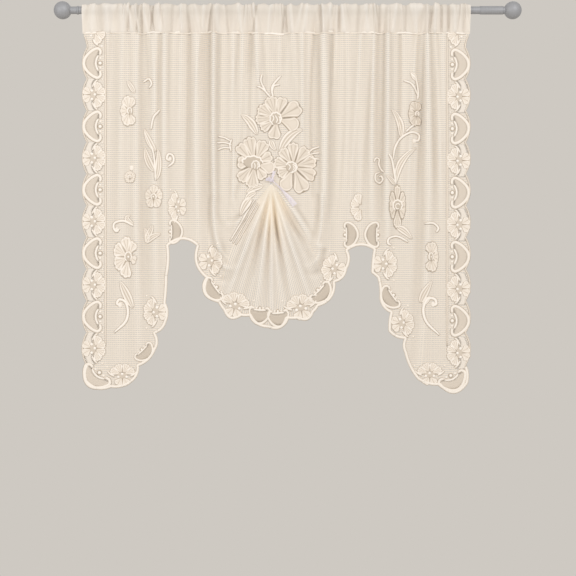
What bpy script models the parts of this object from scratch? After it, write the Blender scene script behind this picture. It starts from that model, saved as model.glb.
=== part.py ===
"""Lace curtain swag hanging on its rod.

One lace panel is gathered by its rod pocket on a thin steel rod with a ball at each end. Its hem rises into
two arches, which leave a tail at each side and a swag between them. A satin ribbon ties the middle of the
swag up, and the cloth below the tie fans out in pleats.

Units are metres, with +Z up and +X to the right along the rod. The front of the cloth faces -Y. The origin is
on the rod's axis, midway between the outer ends of the balls.

Tables are in millimetres, so that a fold or a notch reads as it would on a maker's drawing.
"""

import math
from collections import namedtuple

import bmesh
import bpy
import numpy as np
from mathutils.bvhtree import BVHTree
from mathutils.geometry import delaunay_2d_cdt

MM = 0.001
TOUCH_GAP = 0.3 * MM

# Rod, its end sleeve and the balls
ROD_RADIUS = 8.8 * MM
ROD_LEFT = -484 * MM
ROD_RIGHT = 500 * MM
ROD_SIDES = 28
SLEEVE_LEFT = 446 * MM
SLEEVE_WALL = 0.6 * MM
BALL_RADIUS = 20.6 * MM
BALL_SPACING = 1044 * MM
NECK_RADIUS = 8.6 * MM
COLLAR_RADIUS = 9.9 * MM
COLLAR_LENGTH = 5 * MM
COLLAR_EDGE = 1 * MM
BALL_SECTIONS = 14
BALL_LAST_TURN = math.radians(177)
SLEEVE_INSET = 0.5 * MM

# Lace panel
CLOTH_THICKNESS = 1.5 * MM
FRONT_Y = -0.5
PANEL_LEFT = -476 * MM
PANEL_RIGHT = 423 * MM
SEAM_DROP = 53 * MM
SCALLOP_PITCH = 73.5 * MM
SCALLOP_DEPTH = 10.5 * MM
SCALLOP_TOP = 86 * MM
SCALLOPS_A_SIDE = 10
COLUMN_STEP = 10.5 * MM
ROW_STEP = 41 * MM
EDGE_STEP = 13 * MM
EDGE_CLEARANCE = 6 * MM
FADE_START = 0.6
FOOT_SHARE = 0.3

# The fan of pleats below the tie
TIE_X = -37 * MM
TIE_Z = -404 * MM
FAN_ROWS = 15
FAN_CLEARANCE = 8 * MM
BELLY_RISE = 15 * MM
BELLY_SPREAD = (150 * MM, 165 * MM)
BELLY_CENTRE = (-37 * MM, -565 * MM)
KNOB_RISE = 8 * MM
KNOB_SPREAD = 24 * MM
NECK_SHARE = 0.15
NECK_LENGTH = 95 * MM

# The slow sway of the cloth from side to side, which grows towards the hem
SWAY_PITCH = 235 * MM
SWAY_SHIFT = 0.31
SWAY_RISE = 7 * MM
SWAY_DROP = 850 * MM

# Ribbon
RIBBON_THICKNESS = 1.0 * MM
RIBBON_WIDTH = 14 * MM
KNOT_SIZE = (6.5 * MM, 4.5 * MM, 6.0 * MM)
KNOT_LIFT = 8 * MM
SEAT_GAP = 0.5 * MM

# A notch of the hem, and how far the edge from it to the next notch swells outwards
Notch = namedtuple("Notch", "x z swell")

LEFT_TAIL_HEM = (
    Notch(-466, -823, 4),
    Notch(-468, -860, 11),
    Notch(-411, -874, 6),
    Notch(-361, -860, 5),
    Notch(-347, -825, 6),
    Notch(-308, -788, 6),
    Notch(-308, -749, 5),
    Notch(-282, -721, 5),
    Notch(-284, -679, 1),
    Notch(-280, -616, 3),
)
LEFT_ARCH = (Notch(-277, -546, -15),)
SWAG_HEM = (
    Notch(-209, -546, 14),
    Notch(-188, -621, 19),
    Notch(-160, -677, 1),
    Notch(-148, -695, 14),
    Notch(-108, -708, 1),
    Notch(-87, -708, 8),
    Notch(-44, -735, 13),
    Notch(-2, -714, 1),
    Notch(24, -714, 11),
    Notch(59, -700, 1),
    Notch(70, -686, 14),
    Notch(109, -630, 7),
    Notch(136, -600, 6),
)
RIGHT_ARCH = (Notch(138, -557, -11),)
RIGHT_TAIL_HEM = (
    Notch(200, -555, 1),
    Notch(195, -608, 0),
    Notch(209, -620, -2),
    Notch(214, -667, 6),
    Notch(239, -701, 2),
    Notch(235, -744, 5),
    Notch(272, -761, 4),
    Notch(272, -794, 4),
    Notch(302, -855, 5),
    Notch(353, -869, 21),
    Notch(416, -865, 4),
    Notch(412.5, -823, 10.5),
)

# A crease runs along a curve from its top through its bend to its foot. A positive rise is a ridge towards
# the front, and a negative one is a valley.
Crease = namedtuple("Crease", "top_x top_z bend_x bend_z foot_x foot_z top_width foot_width rise")

SIDE_FOLDS = (
    Crease(-402, -53, -404, -450, -410, -850, 12, 14, -4),
    Crease(-384, -53, -385, -450, -390, -860, 15, 18, 5),
    Crease(-352, -53, -352, -420, -347, -800, 9, 11, 7),
    Crease(-336, -53, -334, -420, -328, -780, 10, 12, -7),
    Crease(-308, -53, -309, -400, -304, -740, 9, 11, 6),
    Crease(-284, -53, -284, -300, -283, -600, 8, 10, 7),
    Crease(-229, -53, -230, -300, -233, -530, 9, 10, -7),
    Crease(-213, -53, -209, -330, -207, -600, 8, 10, 5),
    Crease(-189, -53, -185, -320, -186, -560, 11, 12, -10),
    Crease(-171, -53, -175, -350, -160, -550, 8, 9, 13),
    Crease(-127, -53, -126, -250, -128, -440, 7, 8, 5),
    Crease(-86, -53, -89, -110, -92, -180, 10, 8, -7),
    Crease(-71, -53, -69, -110, -72, -165, 8, 7, 5),
    Crease(-30, -53, -32, -95, -32, -140, 9, 8, -4),
    Crease(-6, -53, -8, -100, -9, -150, 8, 7, -5),
    Crease(31, -53, 33, -200, 32, -340, 7, 8, 5),
    Crease(64, -53, 63, -250, 61, -430, 11, 10, -8),
    Crease(84, -53, 88, -340, 76, -548, 10, 10, 12),
    Crease(103, -53, 105, -300, 104, -570, 9, 10, -6),
    Crease(135, -53, 137, -260, 134, -500, 12, 12, 3),
    Crease(168, -53, 166, -280, 165, -520, 11, 10, 4),
    Crease(197, -53, 196, -300, 196, -545, 8, 8, 6),
    Crease(214, -53, 213, -300, 214, -545, 10, 10, -7),
    Crease(231, -53, 232, -350, 230, -640, 7, 9, 8),
    Crease(258, -53, 258, -240, 256, -430, 8, 9, -4),
    Crease(302, -53, 309, -450, 288, -840, 11, 14, -10),
    Crease(322, -53, 326, -450, 306, -845, 9, 12, 6),
    Crease(342, -53, 342, -280, 341, -520, 8, 9, -5),
    Crease(358, -53, 360, -170, 361, -300, 8, 8, 4),
)
SWAG_FOLDS = (
    Crease(-160, -548, -150, -590, -122, -597, 8, 7, 9),
    Crease(-168, -575, -160, -618, -122, -616, 8, 8, -5),
    Crease(-160, -440, -142, -508, -98, -472, 7, 6, -6),
    Crease(76, -548, 68, -578, 46, -592, 8, 7, 6),
    Crease(84, -560, 74, -602, 44, -608, 8, 7, -5),
)
FAN_PLEATS = (
    Crease(-37, -404, -95, -462, -130, -538, 4, 8, 9),
    Crease(-37, -404, -84, -520, -142, -670, 5, 18, 18),
    Crease(-37, -404, -68, -540, -108, -690, 3, 13, -12),
    Crease(-37, -404, -52, -530, -76, -708, 3, 11, 10),
    Crease(-37, -404, -46, -560, -56, -716, 2, 7, -8),
    Crease(-37, -404, -38, -560, -40, -730, 3, 10, 12),
    Crease(-37, -404, -26, -550, 0, -706, 3, 14, -14),
    Crease(-37, -404, 3, -520, 58, -682, 5, 18, 18),
    Crease(-37, -404, 16, -496, 84, -634, 3, 13, -9),
    Crease(-37, -404, 6, -456, 62, -540, 4, 9, 9),
)
CREASE_SAMPLES = 15

# Waves of the gathered heading: pitch in millimetres, phase in turns and share of the whole
Wave = namedtuple("Wave", "pitch phase share")
FRONT_WAVES = (Wave(61, 0.10, 0.45), Wave(37, 0.62, 0.35), Wave(23, 0.30, 0.20))
TOP_WAVES = (Wave(53, 0.55, 0.40), Wave(31, 0.05, 0.35), Wave(21, 0.80, 0.25))
BACK_WAVES = (Wave(57, 0.35, 0.45), Wave(34, 0.90, 0.35), Wave(25, 0.15, 0.20))
HEAD_CLEARANCE = 0.6 * MM
HEAD_SWELL = 7 * MM
HEAD_FOLD_SHARE = 0.6
TOP_SWELL = 6 * MM
SHOULDER_SLANT = math.radians(50)
SHOULDER_LIFT = 0.12
POCKET_FLOOR = 5 * MM

# Rows of the pocket below the rod: how far each layer has opened from the seam, and its height
PocketRow = namedtuple("PocketRow", "opened z")
POCKET_ROWS = (PocketRow(0.42, -31), PocketRow(0.9, -11))

# Ribbon loops: where the tip lies from the knot, how far the two sides part, and the way the width lies.
# The widths along a loop and along the hanging end are at even steps.
Loop = namedtuple("Loop", "name tip_x tip_z depth side_x side_z")
LOOPS = (
    Loop("upper_loop", 7, 25, 2.6, 0.96, -0.27),
    Loop("left_loop", -19, 4, 2.2, 0.2, 0.98),
)
LOOP_WIDTHS = (4, 8.5, 9.5, 8.5, 4)
LOOP_SAMPLES = 17
TAIL_RUN = (55 * MM, -57 * MM)
TAIL_HANG = 8 * MM
TAIL_SIDE = (0.72, 0, 0.69)
TAIL_WIDTHS = (5, 11, 13, 14)
TAIL_SAMPLES = 11
TAIL_FREE = 0.3


def clear_scene():
    """Remove whatever the file holds."""
    for item in list(bpy.data.objects):
        bpy.data.objects.remove(item, do_unlink=True)


def make_material(name, colour, roughness, metallic=0.0):
    """A Principled material with one colour."""
    material = bpy.data.materials.new(name)
    material.use_nodes = True
    shader = material.node_tree.nodes["Principled BSDF"]
    shader.inputs["Base Color"].default_value = (*colour, 1.0)
    shader.inputs["Roughness"].default_value = roughness
    shader.inputs["Metallic"].default_value = metallic
    return material


def add_object(name, vertices, faces, material, smooth_angle=40):
    """Make an object from points and faces, with every face turned outwards."""
    mesh = bpy.data.meshes.new(name)
    mesh.from_pydata([tuple(map(float, v)) for v in vertices], [], [tuple(map(int, f)) for f in faces])
    shape = bmesh.new()
    shape.from_mesh(mesh)
    bmesh.ops.recalc_face_normals(shape, faces=shape.faces)
    shape.to_mesh(mesh)
    shape.free()
    mesh.shade_smooth()
    mesh.set_sharp_from_angle(angle=math.radians(smooth_angle))
    mesh.materials.append(material)
    item = bpy.data.objects.new(name, mesh)
    bpy.context.collection.objects.link(item)
    return item


def turned_shape(name, profile, material, closed_loop=False):
    """Turn a profile of (x, radius) pairs about the rod's axis. An open profile is capped at both ends."""
    angles = np.arange(ROD_SIDES) * 2 * math.pi / ROD_SIDES
    vertices = [(x, r * math.cos(a), r * math.sin(a)) for x, r in profile for a in angles]
    rows = len(profile)
    faces = []
    for row in range(rows if closed_loop else rows - 1):
        below = row * ROD_SIDES
        above = (row + 1) % rows * ROD_SIDES
        for k in range(ROD_SIDES):
            after = (k + 1) % ROD_SIDES
            faces.append((below + k, below + after, above + after, above + k))
    if not closed_loop:
        faces.append(tuple(reversed(range(ROD_SIDES))))
        faces.append(tuple(range((rows - 1) * ROD_SIDES, rows * ROD_SIDES)))
    return add_object(name, vertices, faces, material)


def finial_profile(side, rod_end, collar_length):
    """The profile of one ball with its neck, and with a collar against the rod's end where it has one."""
    centre = BALL_SPACING / 2
    start = rod_end + TOUCH_GAP
    neck_angle = math.asin(NECK_RADIUS / BALL_RADIUS)
    profile = [(start, NECK_RADIUS)]
    if collar_length:
        profile = [
            (start, COLLAR_RADIUS - COLLAR_EDGE),
            (start + COLLAR_EDGE, COLLAR_RADIUS),
            (start + collar_length - COLLAR_EDGE, COLLAR_RADIUS),
            (start + collar_length, NECK_RADIUS),
        ]
    for k in range(BALL_SECTIONS + 1):
        turn = neck_angle + (BALL_LAST_TURN - neck_angle) * k / BALL_SECTIONS
        profile.append((centre - BALL_RADIUS * math.cos(turn), BALL_RADIUS * math.sin(turn)))
    return [(side * x, r) for x, r in profile]


def smooth_step(value):
    """Rise from 0 to 1 with level ends."""
    t = np.clip(value, 0.0, 1.0)
    return t * t * (3 - 2 * t)


def wave_sum(x, waves):
    """Between 0 and 1: an uneven ripple along the rod."""
    total = sum(w.share * np.sin(2 * math.pi * (x / (w.pitch * MM) + w.phase)) for w in waves)
    return 0.5 + 0.5 * total


def crease_points(crease, count):
    """Points at even steps along the quadratic curve of a crease."""
    t = np.linspace(0, 1, count)[:, None]
    top = np.array((crease.top_x, crease.top_z)) * MM
    bend = np.array((crease.bend_x, crease.bend_z)) * MM
    foot = np.array((crease.foot_x, crease.foot_z)) * MM
    control = 2 * bend - (top + foot) / 2
    return (1 - t) ** 2 * top + 2 * t * (1 - t) * control + t**2 * foot


def crease_relief(x, z, crease):
    """A bell-shaped ridge or valley across the nearest point of the crease, fading out at its foot."""
    path = crease_points(crease, CREASE_SAMPLES)
    nearest = np.full(x.shape, np.inf)
    along = np.zeros(x.shape)
    for k in range(CREASE_SAMPLES - 1):
        step = path[k + 1] - path[k]
        t = np.clip(((x - path[k, 0]) * step[0] + (z - path[k, 1]) * step[1]) / (step @ step), 0, 1)
        away = np.hypot(x - path[k, 0] - t * step[0], z - path[k, 1] - t * step[1])
        closer = away < nearest
        nearest = np.where(closer, away, nearest)
        along = np.where(closer, (k + t) / (CREASE_SAMPLES - 1), along)
    width = (crease.top_width + (crease.foot_width - crease.top_width) * along) * MM
    fade = 1 - (1 - FOOT_SHARE) * smooth_step((along - FADE_START) / (1 - FADE_START))
    return crease.rise * MM * fade * np.exp(-((nearest / width) ** 2))


def relief(x, z):
    """How far the middle of the cloth stands in front of the rod's axis plane."""
    belly = np.exp(
        -(((x - BELLY_CENTRE[0]) / BELLY_SPREAD[0]) ** 2) - ((z - BELLY_CENTRE[1]) / BELLY_SPREAD[1]) ** 2
    )
    knob = np.exp(-((x - TIE_X) ** 2 + (z - TIE_Z + 0.4 * KNOB_SPREAD) ** 2) / KNOB_SPREAD**2)
    sway = np.sin(2 * math.pi * (x / SWAY_PITCH + SWAY_SHIFT)) * (-z - SEAM_DROP) / SWAY_DROP
    total = BELLY_RISE * belly + KNOB_RISE * knob + SWAY_RISE * sway
    for crease in SIDE_FOLDS + SWAG_FOLDS:
        total = total + crease_relief(x, z, crease)
    opened = NECK_SHARE + (1 - NECK_SHARE) * smooth_step(np.hypot(x - TIE_X, z - TIE_Z) / NECK_LENGTH)
    for pleat in FAN_PLEATS:
        total = total + opened * crease_relief(x, z, pleat)
    return total


def cloth_middle(x, z):
    """Points of the cloth's middle surface, and its normals towards the front."""
    slope_step = 0.5 * MM
    here = relief(x, z)
    across = (relief(x + slope_step, z) - relief(x - slope_step, z)) / (2 * slope_step)
    down = (relief(x, z + slope_step) - relief(x, z - slope_step)) / (2 * slope_step)
    normal = np.stack((-across, -np.ones_like(x), -down), axis=-1)
    normal /= np.linalg.norm(normal, axis=-1, keepdims=True)
    return np.stack((x, -here, z), axis=-1), normal


def swell_edge(start, end, swell):
    """Points from start up to but without end, on a low arch that swells to the right of the way it runs."""
    start = np.array(start, float)
    end = np.array(end, float)
    run = end - start
    length = float(np.linalg.norm(run))
    count = max(2, round(length / EDGE_STEP))
    t = np.arange(count)[:, None] / count
    outward = np.array((run[1], -run[0])) / length
    return start + t * run + 4 * t * (1 - t) * swell * outward


def hem_notches():
    """All notches of the panel's edge in metres, down the left side, along the hem and up the right side."""
    left_x = PANEL_LEFT / MM + SCALLOP_DEPTH / MM
    right_x = PANEL_RIGHT / MM - SCALLOP_DEPTH / MM
    heights = [-(SCALLOP_TOP + k * SCALLOP_PITCH) / MM for k in range(SCALLOPS_A_SIDE)]
    left = [Notch(left_x, z, SCALLOP_DEPTH / MM) for z in heights]
    right = [Notch(right_x, z, SCALLOP_DEPTH / MM) for z in reversed(heights)]
    right[-1] = right[-1]._replace(swell=-2)
    first = Notch(PANEL_LEFT / MM, -SEAM_DROP / MM, -2)
    last = Notch(PANEL_RIGHT / MM, -SEAM_DROP / MM, 0)
    hem = LEFT_TAIL_HEM + LEFT_ARCH + SWAG_HEM + RIGHT_ARCH + RIGHT_TAIL_HEM
    return [first, *left, *hem, *right, last]


def panel_edge():
    """The edge of the cloth below the seam, as points in the plane of the window."""
    notches = hem_notches()
    runs = [
        swell_edge((a.x * MM, a.z * MM), (b.x * MM, b.z * MM), a.swell * MM)
        for a, b in zip(notches[:-1], notches[1:])
    ]
    return np.concatenate(runs)


def inside_edge(points, edge):
    """Which points lie inside a closed edge, by counting how often a ray to the right crosses it."""
    following = np.roll(edge, -1, axis=0)
    inside = np.zeros(len(points), bool)
    for (ax, az), (bx, bz) in zip(edge, following):
        spans = (az > points[:, 1]) != (bz > points[:, 1])
        if az != bz:
            crossing = ax + (points[:, 1] - az) * (bx - ax) / (bz - az)
            inside ^= spans & (points[:, 0] < crossing)
    return inside


def clear_of(points, others, gap):
    """Which points lie more than the gap from every one of the others."""
    away = np.hypot(points[:, None, 0] - others[None, :, 0], points[:, None, 1] - others[None, :, 1])
    return away.min(axis=1) > gap


def free_runs(line, free):
    """The stretches of a line whose points are all free."""
    breaks = np.flatnonzero(np.diff(free.astype(int))) + 1
    return [part for part, kept in zip(np.split(line, breaks), np.split(free, breaks)) if kept[0]]


def runs_inside(ends, edge):
    """Whether the straight line between two points stays inside the edge, and a little away from it."""
    line = ends[0] + (ends[1] - ends[0]) * np.linspace(0, 1, 15)[:, None]
    return bool((inside_edge(line, edge) & clear_of(line, edge, EDGE_CLEARANCE / 2)).all())


def crease_at(crease, z):
    """Where a crease is at each height. It goes straight on above its top and below its foot."""
    path = crease_points(crease, CREASE_SAMPLES)[::-1]
    return np.interp(z, path[:, 1], path[:, 0])


def fold_columns(z):
    """Places across the cloth at each height: one on every side fold, with even steps between them."""
    lines = [np.full_like(z, PANEL_LEFT)]
    lines += [crease_at(crease, z) for crease in SIDE_FOLDS]
    lines.append(np.full_like(z, PANEL_RIGHT))
    columns = []
    for left, right in zip(lines[:-1], lines[1:]):
        steps = max(1, round(float(right[0] - left[0]) / COLUMN_STEP))
        columns += [left + (right - left) * k / steps for k in range(steps)]
    return np.stack([*columns, lines[-1]])


def fan_lines():
    """Lines of points down the fan: along each pleat, then halfway between neighbouring pleats."""
    pleats = np.stack([crease_points(pleat, FAN_ROWS) for pleat in FAN_PLEATS])
    return [*pleats, *((pleats[:-1] + pleats[1:]) / 2)]


def field_lines(edge):
    """Lines of points inside the edge that the mesh follows, so that no face cuts across a ridge.

    The fan's pleats come first, and rows across the side folds fill what lies outside the fan. A line runs
    only where it is clear of the edge and of the earlier lines.
    """
    fan = fan_lines()
    fan_edge = np.array([fan[0][0], *(pleat[-1] for pleat in fan[: len(FAN_PLEATS)])])
    lines = []
    taken = fan[0][:1] + FAN_CLEARANCE
    for line in fan:
        free = inside_edge(line, edge) & clear_of(line, edge, EDGE_CLEARANCE)
        free &= clear_of(line, taken, FAN_CLEARANCE / 2)
        lines += free_runs(line, free)
        taken = np.vstack((taken, line[free]))
    rows = np.arange(-SEAM_DROP - ROW_STEP, edge[:, 1].min(), -ROW_STEP)
    for column in fold_columns(np.concatenate(((-SEAM_DROP,), rows)))[:, 1:]:
        line = np.stack((column, rows), axis=1)
        free = inside_edge(line, edge) & clear_of(line, edge, EDGE_CLEARANCE)
        free &= ~inside_edge(line, fan_edge) & clear_of(line, taken, FAN_CLEARANCE)
        lines += free_runs(line, free)
    return lines


def heading_sections(seam_x, front, back):
    """Outer and inner outline of the rod pocket at each column, from the seam over the rod to the seam.

    Below the rod the two layers close in on the seam. Above the seam the cloth ripples, and it clears the rod
    by the heading's clearance where the ripple is lowest.
    """
    reach = ROD_RADIUS + HEAD_CLEARANCE + CLOTH_THICKNESS
    fold = np.clip(-front[:, 1], 0, None)
    front_out = reach + HEAD_SWELL * wave_sum(seam_x, FRONT_WAVES) + HEAD_FOLD_SHARE * fold
    back_out = reach + HEAD_SWELL * wave_sum(seam_x, BACK_WAVES)
    top_out = reach + TOP_SWELL * wave_sum(seam_x, TOP_WAVES)


    def layer(seam, out):
        """One layer's rows from the seam up to the shoulder of the rod."""
        rows = []
        for row in POCKET_ROWS:
            y = seam[:, 1] + (out - seam[:, 1]) * row.opened
            rows.append(np.stack((seam_x, y, np.full_like(seam_x, row.z * MM)), -1))
        shoulder_z = top_out * math.sin(SHOULDER_SLANT)
        rows.append(np.stack((seam_x, out, shoulder_z * SHOULDER_LIFT), -1))
        rows.append(np.stack((seam_x, out * math.cos(SHOULDER_SLANT), shoulder_z), -1))
        return rows

    top = np.stack((seam_x, np.zeros_like(seam_x), top_out), -1)
    outer = np.stack((front, *layer(front, -front_out), top, *reversed(layer(back, back_out)), back), axis=1)
    along = outer[:, 2:] - outer[:, :-2]
    inward = np.stack((np.zeros_like(along[..., 0]), -along[..., 2], along[..., 1]), -1)
    inward /= np.linalg.norm(inward, axis=-1, keepdims=True)
    inner = outer[:, 1:-1] - inward * CLOTH_THICKNESS
    apex = (front + back) / 2 + np.array((0, 0, POCKET_FLOOR))
    return outer, np.concatenate((apex[:, None], inner), axis=1)


def build_lace_panel(material):
    """The whole curtain as one closed body: the cloth below the seam and the pocket around the rod."""
    edge = panel_edge()
    seam_x = fold_columns(np.array([-SEAM_DROP]))[::-1, 0]
    seam = np.stack((seam_x, np.full_like(seam_x, -SEAM_DROP)), axis=1)
    outline = np.concatenate((edge, seam[:-1]))
    lines = field_lines(outline)
    points = np.concatenate((outline, *lines))
    rim = list(range(len(outline)))
    ties = []
    start = len(outline)
    for line in lines:
        pairs = [(k, k + 1) for k in range(start, start + len(line) - 1)]
        ties += [pair for pair in pairs if runs_inside(points[list(pair)], outline)]
        start += len(line)
    flat = delaunay_2d_cdt([tuple(map(float, p)) for p in points], ties, [rim], 1, 1e-6)
    flat_points = np.array([tuple(v) for v in flat[0]])
    triangles = np.array(flat[2])
    place = {old: new for new, olds in enumerate(flat[3]) for old in olds}

    middle, normal = cloth_middle(flat_points[:, 0], flat_points[:, 1])
    count = len(middle)
    front = middle + normal * CLOTH_THICKNESS / 2
    back = middle - normal * CLOTH_THICKNESS / 2
    faces = [tuple(t) for t in triangles] + [tuple(count + i for i in reversed(t)) for t in triangles]

    rim = [place[i] for i in rim]
    rim_after = rim[1:] + rim[:1]
    seam_start = len(edge)
    for a, b in list(zip(rim, rim_after))[:seam_start]:
        faces.append((a, b, count + b, count + a))

    columns = [place[seam_start + k] for k in range(len(seam_x) - 1)] + [place[0]]
    for grid in (front, back):
        grid[columns, 0] = seam_x
        grid[columns, 2] = -SEAM_DROP
    outer, inner = heading_sections(seam_x, front[columns], back[columns])
    rows = outer.shape[1] - 1
    vertices = [*front, *back]
    outer_index = np.zeros((len(columns), rows + 1), int)
    inner_index = np.zeros((len(columns), rows + 1), int)
    for k, column in enumerate(columns):
        outer_index[k, 0] = column
        outer_index[k, rows] = count + column
        for row in range(1, rows):
            outer_index[k, row] = len(vertices)
            vertices.append(outer[k, row])
        for row in range(rows):
            inner_index[k, row] = len(vertices)
            vertices.append(inner[k, row])
        inner_index[k, rows] = inner_index[k, 0]
    for k in range(len(columns) - 1):
        for row in range(rows):
            for ring in (outer_index, inner_index):
                faces.append((ring[k, row], ring[k, row + 1], ring[k + 1, row + 1], ring[k + 1, row]))
    for k in (0, len(columns) - 1):
        for row in range(rows):
            corners = (
                outer_index[k, row],
                outer_index[k, row + 1],
                inner_index[k, row + 1],
                inner_index[k, row],
            )
            faces.append(corners)
        faces.append((outer_index[k, 0], inner_index[k, 0], outer_index[k, rows]))
    return add_object("lace_panel", vertices, faces, material, smooth_angle=60)


def ribbon_strip(path, side, widths):
    """Points and faces of a flat closed strip along a path. Its widths are spread evenly along it."""
    path = np.array(path, float)
    side = np.array(side, float) / np.linalg.norm(side)
    along = np.gradient(path, axis=0)
    along /= np.linalg.norm(along, axis=1, keepdims=True)
    thick = np.cross(along, side)
    thick /= np.linalg.norm(thick, axis=1, keepdims=True)
    shares = np.linspace(0, 1, len(path))
    half_width = np.interp(shares, np.linspace(0, 1, len(widths)), widths)[:, None] * MM / 2
    rings = [
        path + side * half_width * a + thick * RIBBON_THICKNESS / 2 * b
        for a, b in ((-1, -1), (1, -1), (1, 1), (-1, 1))
    ]
    vertices = np.stack(rings, axis=1).reshape(-1, 3)
    faces = []
    for k in range(len(path) - 1):
        for c in range(4):
            d = (c + 1) % 4
            faces.append((4 * k + c, 4 * k + d, 4 * k + 4 + d, 4 * k + 4 + c))
    last = 4 * (len(path) - 1)
    faces += [(3, 2, 1, 0), (last, last + 1, last + 2, last + 3)]
    return vertices, faces


def panel_tree(panel):
    """The panel's faces, ready for rays."""
    corners = [v.co for v in panel.data.vertices]
    return BVHTree.FromPolygons(corners, [tuple(face.vertices) for face in panel.data.polygons])


def front_of(tree, x, z, reach):
    """The Y of the panel's foremost point within the reach of a place."""
    steps = np.linspace(-reach, reach, 7)
    hits = [tree.ray_cast((x + i, FRONT_Y, z + k), (0, 1, 0))[0] for i in steps for k in steps]
    return min(hit.y for hit in hits if hit)


def slack_behind(tree, shapes):
    """How far the shapes can go back before a corner or a face's middle is at the seat gap."""
    points = [p for vertices, faces in shapes for p in vertices]
    points += [vertices[list(face)].mean(axis=0) for vertices, faces in shapes for face in faces]
    return min(front_of(tree, x, z, 0) - y for x, y, z in points) - SEAT_GAP


def ball_shape(centre, size):
    """Points and faces of a rounded lump with the given half sizes."""
    ball = bmesh.new()
    bmesh.ops.create_uvsphere(ball, u_segments=16, v_segments=10, radius=1.0)
    vertices = centre + np.array([tuple(v.co) for v in ball.verts]) * size
    faces = [tuple(v.index for v in face.verts) for face in ball.faces]
    ball.free()
    return vertices, faces


def build_ribbon(panel, material):
    """The satin ribbon as one body: a knot at the top of the fan, two short loops and one hanging end."""
    tree = panel_tree(panel)
    knot_z = TIE_Z + KNOT_LIFT
    knot_y = front_of(tree, TIE_X, knot_z, RIBBON_WIDTH / 2) - KNOT_SIZE[1]
    centre = np.array((TIE_X, knot_y, knot_z))
    knot = ball_shape(centre, KNOT_SIZE)
    turns = np.linspace(0, 2 * math.pi, LOOP_SAMPLES)[1:-1, None]
    pieces = {}
    for loop in LOOPS:
        out = np.array((loop.tip_x, 0, loop.tip_z)) * MM
        depth = np.array((0, loop.depth, 0)) * MM
        path = centre + out * (0.5 - 0.5 * np.cos(turns)) - depth * np.sin(turns)
        pieces[loop.name] = ribbon_strip(path, (loop.side_x, 0, loop.side_z), LOOP_WIDTHS)

    tail = []
    for t in np.linspace(0, 1, TAIL_SAMPLES):
        x = TIE_X + TAIL_RUN[0] * t
        z = knot_z + TAIL_RUN[1] * t + TAIL_HANG * t * (1 - t)
        free = smooth_step(t / TAIL_FREE)
        lying_y = front_of(tree, x, z, RIBBON_WIDTH / 2) - RIBBON_THICKNESS / 2
        tail.append((x, (1 - free) * knot_y + free * lying_y, z))
    pieces["hanging_end"] = ribbon_strip(tail, TAIL_SIDE, TAIL_WIDTHS)

    seat = np.array((0, slack_behind(tree, [knot, *pieces.values()]), 0))
    ribbon = add_object("ribbon_tie", knot[0] + seat, knot[1], material)
    for name, (vertices, faces) in pieces.items():
        piece = add_object(name + "_guide", vertices + seat, faces, material)
        piece.hide_render = True
        piece.display_type = "WIRE"
        joined = ribbon.modifiers.new(name, "BOOLEAN")
        joined.operation = "UNION"
        joined.object = piece
    return ribbon


def build_rod(material):
    """The rod, the sleeve over its right end and the two balls."""
    turned_shape("rod", [(ROD_LEFT, ROD_RADIUS), (ROD_RIGHT, ROD_RADIUS)], material)
    inner = ROD_RADIUS + TOUCH_GAP
    outer = inner + SLEEVE_WALL
    sleeve_right = ROD_RIGHT - SLEEVE_INSET
    sleeve = [(SLEEVE_LEFT, inner), (sleeve_right, inner), (sleeve_right, outer), (SLEEVE_LEFT, outer)]
    turned_shape("rod_sleeve", sleeve, material, closed_loop=True)
    turned_shape("finial_left", finial_profile(-1, -ROD_LEFT, COLLAR_LENGTH), material)
    turned_shape("finial_right", finial_profile(1, ROD_RIGHT, 0), material)


def main():
    clear_scene()
    steel = make_material("brushed_steel", (0.36, 0.36, 0.36), 0.38, 0.85)
    lace = make_material("cream_lace", (0.80, 0.72, 0.61), 0.85)
    satin = make_material("lilac_satin", (0.80, 0.75, 0.80), 0.35)
    build_rod(steel)
    panel = build_lace_panel(lace)
    build_ribbon(panel, satin)


main()
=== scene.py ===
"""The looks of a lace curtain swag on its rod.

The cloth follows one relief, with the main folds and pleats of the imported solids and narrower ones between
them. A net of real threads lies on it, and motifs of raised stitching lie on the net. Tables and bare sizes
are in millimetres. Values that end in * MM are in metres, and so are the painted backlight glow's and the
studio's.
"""

import math
from collections import namedtuple

import bpy
import numpy as np
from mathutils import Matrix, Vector


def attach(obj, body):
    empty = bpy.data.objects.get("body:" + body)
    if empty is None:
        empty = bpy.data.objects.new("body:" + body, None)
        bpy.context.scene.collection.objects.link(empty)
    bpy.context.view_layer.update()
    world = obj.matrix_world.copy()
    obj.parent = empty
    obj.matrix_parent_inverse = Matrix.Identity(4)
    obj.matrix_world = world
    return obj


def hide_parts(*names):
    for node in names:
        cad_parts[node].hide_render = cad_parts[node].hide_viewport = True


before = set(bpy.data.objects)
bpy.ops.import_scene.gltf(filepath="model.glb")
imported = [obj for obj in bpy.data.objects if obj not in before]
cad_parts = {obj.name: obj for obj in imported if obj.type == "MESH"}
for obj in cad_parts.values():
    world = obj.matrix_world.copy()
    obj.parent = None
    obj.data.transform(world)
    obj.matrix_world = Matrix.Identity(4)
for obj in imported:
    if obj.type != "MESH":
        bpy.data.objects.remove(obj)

MM = 0.001
TURN = 2 * math.pi
TINY = 1e-12

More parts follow.
